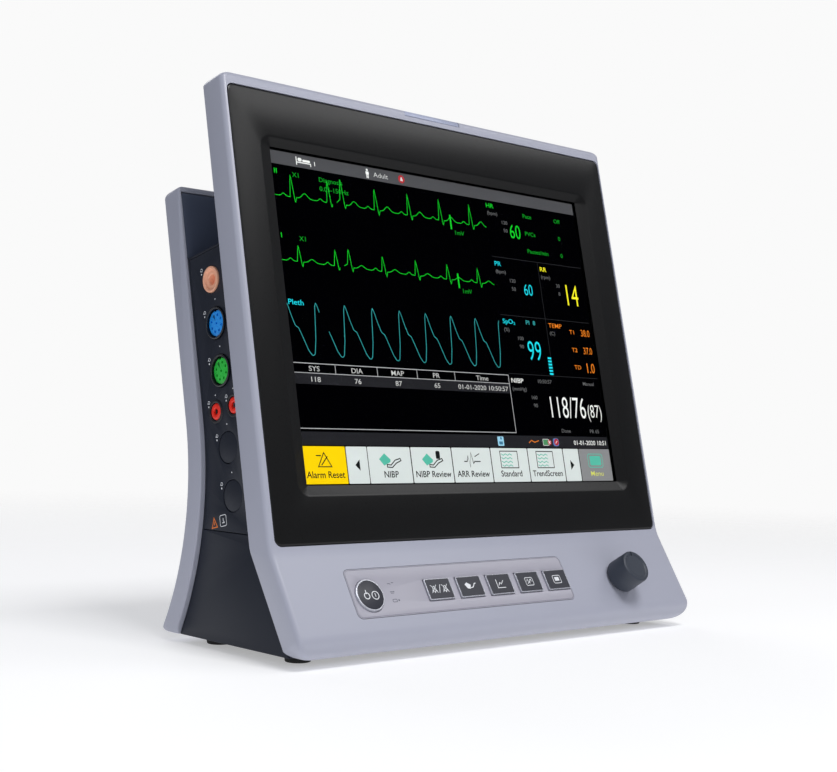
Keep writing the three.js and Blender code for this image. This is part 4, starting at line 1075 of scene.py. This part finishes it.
def pin_block(name, key, material, slot, node):
    """A round block of contact holes with a keyway."""
    at = port_frame(key)
    outline = [(0.2, 0), (0.2, 6.5), (0.4, 6.9), (0.8, 7.1), (13.5, 7.1), (13.5, 0)]
    obj = mesh_object(name, turned(outline), at)
    holes = [(prism(circle(0, 0, 0.75, 16), -2, 5), at)]
    for i in range(8):
        angle = (i + 0.5) * math.pi / 4
        hole = circle(4.6 * math.cos(angle), 4.6 * math.sin(angle), 0.8, 16)
        holes.append((prism(hole, -2, 5), at))
    holes.append((block((-1.0, 1.0), (6.1, 8), (-1, 6)), at))
    carved(obj, holes)
    dressed(shaded(obj, 0, angle=30), material, "chassis", slot, node)


def connector_side():
    restyled("connector_panel", NAVY, 0.25, "navy_plastic")
    port_piece("hose_fitting", "nibp", turned(
        [(15, 0), (15, 4), (5, 4), (5, 9), (2.7, 9), (2.7, 7.2), (-0.2, 7.2), (-0.55, 7.1), (-0.75, 6.8),
         (-0.8, 6.4), (-0.72, 6.0), (-0.4, 5.5), (0.3, 5.15), (0.5, 4.9), (0.4, 4.2), (0.45, 3.4),
         (0.8, 2.9), (1.6, 2.6), (3.6, 2.5), (3.6, 0)]), PEACH, "port_peach", "nibp_port")
    for key, material, slot in (("spo2", BLUE, "port_blue"), ("ecg", GREEN, "port_green")):
        port_piece(key + "_cup", key, turned(
            [(-0.75, 7.6), (-1.0, 7.8), (-1.1, 8.1), (-1.0, 8.45), (-0.75, 8.7), (2.7, 8.7), (2.7, 10.4),
             (5, 10.4), (5, 8.7), (12, 8.7), (12, 7.4), (10, 7.4), (10, 7.6)]), SOCKET, "navy_plastic",
            key + "_shell")
        pin_block(key + "_pins", key, material, slot, key + "_insert")
    for key in ("ibp_rear", "ibp_front"):
        node = key.replace("ibp_", "ibp_socket_")
        port_piece(node + "_body", key, turned(
            [(1.6, 0), (1.6, 1.5), (0.0, 1.7), (-0.35, 2.1), (-0.45, 3.0), (-0.35, 3.8), (0, 4.3),
             (0.5, 4.6), (2.7, 4.6), (2.7, 6), (5, 6), (5, 4), (13, 4), (13, 0)]), RED, "port_red", node)
        port_piece(node + "_key", key, block((-0.45, 0.45), (-1.1, 1.1), (0.1, 1.55)), SOCKET,
                   "navy_plastic")
        port_piece(node + "_ring", key, turned(
            [(-0.35, 4.8), (-0.55, 5.1), (-0.6, 5.6), (-0.5, 6.1), (-0.02, 6.4), (-0.02, 4.8)]), SOCKET,
            "navy_plastic")
    for name in ("upper", "lower"):
        port_piece("blank_cover_" + name, "blank_" + name, turned(
            [(0.15, 0), (0.15, 7.9), (0.3, 8.2), (0.6, 8.4), (2.7, 8.4), (2.7, 9.6), (4.4, 9.6), (4.4, 0)]),
            NAVY, "navy_plastic", "blank_plug_" + name)
    turn = Matrix(((0, 0, -1, 0), (0, 1, 0, 0), (1, 0, 0, 0), (0, 0, 0, 1)))
    marks_frame = SLAB @ Matrix.Translation((PORT_X, 0, 0)) @ turn
    marks = Ink("port_marks", PRINT, marks_frame, "chassis", "navy_plastic", 0.02)
    for key, reach in (("nibp", 9.6), ("spo2", 11.4), ("ecg", 11.4), ("ibp_rear", 7.2), ("ibp_front", 7.2),
                       ("blank_upper", 10.6), ("blank_lower", 10.6)):
        y, depth = SOCKETS[key]
        left = -depth - reach * 0.86
        marks.face(circle(left, y + reach * 0.52, 0.5, 14))
        marks.line(circle(left + 0.5, y + reach * 0.52 + 2.2, 0.8, 12), 0.3, closed=True)
        marks.line([(left - 0.9, y + reach * 0.52 + 1.6), (left + 0.1, y + reach * 0.52 + 3.2)], 0.28)
        if key != "nibp":
            marks.face(circle(-depth + reach * 0.12, y + reach + 1.6, 0.4, 10))
    marks.line(rounded(-49.6, -43.8, -106.4, -100.6, 1.0, 3), 0.35, closed=True)
    marks.line([(-47.6, -104.6), (-45.8, -104.6), (-46.6, -103.4), (-46.6, -102.2)], 0.5)
    marks.done()
    caution = Ink("caution_mark", WARNING, marks_frame, "chassis", "navy_plastic", 0.02)
    caution.line([(-57.4, -106), (-52.4, -106), (-54.9, -101)], 0.7, closed=True)
    caution.line([(-54.9, -104.8), (-54.9, -103)], 0.6)
    caution.done()


# ---------------- everything else
RESTYLED = [
    ("mid_housing", NAVY, 0.4, "navy_plastic", 2),
    # The handle plate takes the navy painted lighter: painted light.
    ("handle_plate", NAVY_PAINTED_LIGHTER, 0.4, "navy_plastic", 2),
    ("slab_back_cover", NAVY, 0.5, "navy_plastic", 2),
    ("alarm_lens", LENS, 0.2, "alarm_lens", 2),
    ("port_panel", NAVY, 0.2, "navy_plastic", 2),
    ("ac_inlet", BLACK, 0.25, "black_moulding", 2),
    ("lan_port", ZINC, 0.15, "zinc_can", 2),
    ("usb_port", ZINC, 0.15, "zinc_can", 2),
    ("ground_post", GOLD, 0.25, "brass_metal", 2),
    ("recorder_door", NAVY, 0.5, "navy_plastic", 3),
    ("recorder_release", DARK, 0.4, "latch_dark", 3),
    ("battery_door", NAVY, 0.5, "navy_plastic", 3),
    ("battery_latch", DARK, 0.35, "latch_dark", 3)]


def body_pieces():
    for row in RESTYLED:
        restyled(*row)
    for node in ("foot_front_left", "foot_front_right", "foot_rear_left", "foot_rear_right"):
        restyled(node, RUBBER, 0.5, "roller_rubber", 3)


PAINT = {
    SHEET: ["lcd_tray", "chassis_plate", "thermal_head", "power_supply"],
    SINK: ["heat_sink"],
    ZINC: ["encoder_body", "encoder_shaft", "platen_motor", "nibp_pump"],
    GOLD: ["encoder_rotor", "nibp_valve"],
    BOARD: ["alarm_board", "key_board", "parameter_board", "main_board"],
    CELL: ["lcd_panel"],
    BLACK: ["battery_pack"],
    CONE: ["speaker"],
    PAPER: ["paper_roll"],
    RUBBER: ["platen_roller"],
    NAVY: ["recorder_housing"]}


def painted_nodes():
    """Inner CAD nodes keep their own shape and take a material."""
    for material, nodes in PAINT.items():
        for node in nodes:
            painted(node, material)


# ---------------- studio
def floor():
    """A pale floor that fades into the background away from the object."""
    bm = bmesh.new()
    bmesh.ops.create_circle(bm, cap_ends=True, segments=96, radius=3.0)
    obj = mesh_object("floor", bm, Matrix.Identity(4))
    material = bpy.data.materials.new("pale_floor")
    material.use_nodes = True
    tree = material.node_tree
    shader = tree.nodes["Principled BSDF"]
    put(shader, Base_Color=colour(226, 226, 227), Emission_Color=(1, 1, 1, 1), Emission_Strength=0.37,
        Roughness=0.8, Specular_IOR_Level=0.1)
    place = added(tree, "TexCoord")
    ball = added(tree, "TexGradient")
    ball.gradient_type = "SPHERICAL"
    size = added(tree, "Mapping", Scale=(0.62, 0.62, 0.62))
    soft = added(tree, "MapRange")
    soft.interpolation_type = "SMOOTHSTEP"
    put(soft, From_Min=0.0, From_Max=0.8)
    tree.links.new(place.outputs["Object"], size.inputs["Vector"])
    tree.links.new(size.outputs["Vector"], ball.inputs["Vector"])
    tree.links.new(ball.outputs["Fac"], soft.inputs["Value"])
    tree.links.new(soft.outputs["Result"], shader.inputs["Alpha"])
    obj.data.materials.append(material)


def area_light(name, place, size, power, target=(0, 0, 0.15), tint=(1, 1, 1)):
    data = bpy.data.lights.new(name, "AREA")
    data.shape = "RECTANGLE"
    data.size, data.size_y = size
    data.energy = power
    data.color = tint
    obj = bpy.data.objects.new(name, data)
    obj.location = place
    obj.rotation_euler = (Vector(target) - Vector(place)).to_track_quat("-Z", "Y").to_euler()
    bpy.context.scene.collection.objects.link(obj)


def studio():
    floor()
    world = bpy.data.worlds.new("pale_room")
    bpy.context.scene.world = world
    world.use_nodes = True
    tree = world.node_tree
    seen = tree.nodes["Background"]
    put(seen, Color=colour(250, 250, 250))
    glow = added(tree, "Background", Color=(0.92, 0.94, 1.0, 1), Strength=0.19)
    path = added(tree, "LightPath")
    mix = added(tree, "MixShader")
    tree.links.new(path.outputs["Is Camera Ray"], mix.inputs["Fac"])
    tree.links.new(glow.outputs["Background"], mix.inputs[1])
    tree.links.new(seen.outputs["Background"], mix.inputs[2])
    tree.links.new(mix.outputs["Shader"], tree.nodes["World Output"].inputs["Surface"])
    area_light("key", (-0.15, -0.95, 1.7), (0.7, 0.6), 18.4)
    area_light("sheen", (0.9, -0.85, 1.35), (1.3, 0.5), 5.0)
    area_light("edge", (-1.25, -1.2, 0.5), (0.10, 1.2), 3.2, tint=(0.84, 0.91, 1.0))
    area_light("left", (-1.6, 0.35, 0.8), (0.8, 0.8), 2.2, tint=(0.80, 0.88, 1.0))
    area_light("back", (0.3, 1.4, 1.3), (1.2, 0.8), 6)


def camera():
    """At the object's front left, level with its lower half."""
    azimuth, elevation, roll = (math.radians(a) for a in (-42.2, -1.456, 1.511))
    forward = Vector((-math.sin(azimuth) * math.cos(elevation), math.cos(azimuth) * math.cos(elevation),
                      -math.sin(elevation)))
    right = forward.cross(Vector((0, 0, 1))).normalized()
    right.rotate(Matrix.Rotation(-roll, 3, forward))
    up = right.cross(forward)
    data = bpy.data.cameras.new("camera")
    data.sensor_width = 36
    data.lens = 61.43
    data.clip_start = 0.01
    obj = bpy.data.objects.new("camera", data)
    rotation = Matrix((right, up, -forward)).transposed()
    obj.matrix_world = Matrix.Translation((-0.57748, -0.61427, 0.12288)) @ rotation.to_4x4()
    bpy.context.scene.collection.objects.link(obj)
    bpy.context.scene.camera = obj


bpy.context.scene.view_settings.view_transform = "Standard"
camera()
studio()
front_shell()
rear_shell()
display_stack()
key_panel()
connector_side()
body_pieces()
painted_nodes()
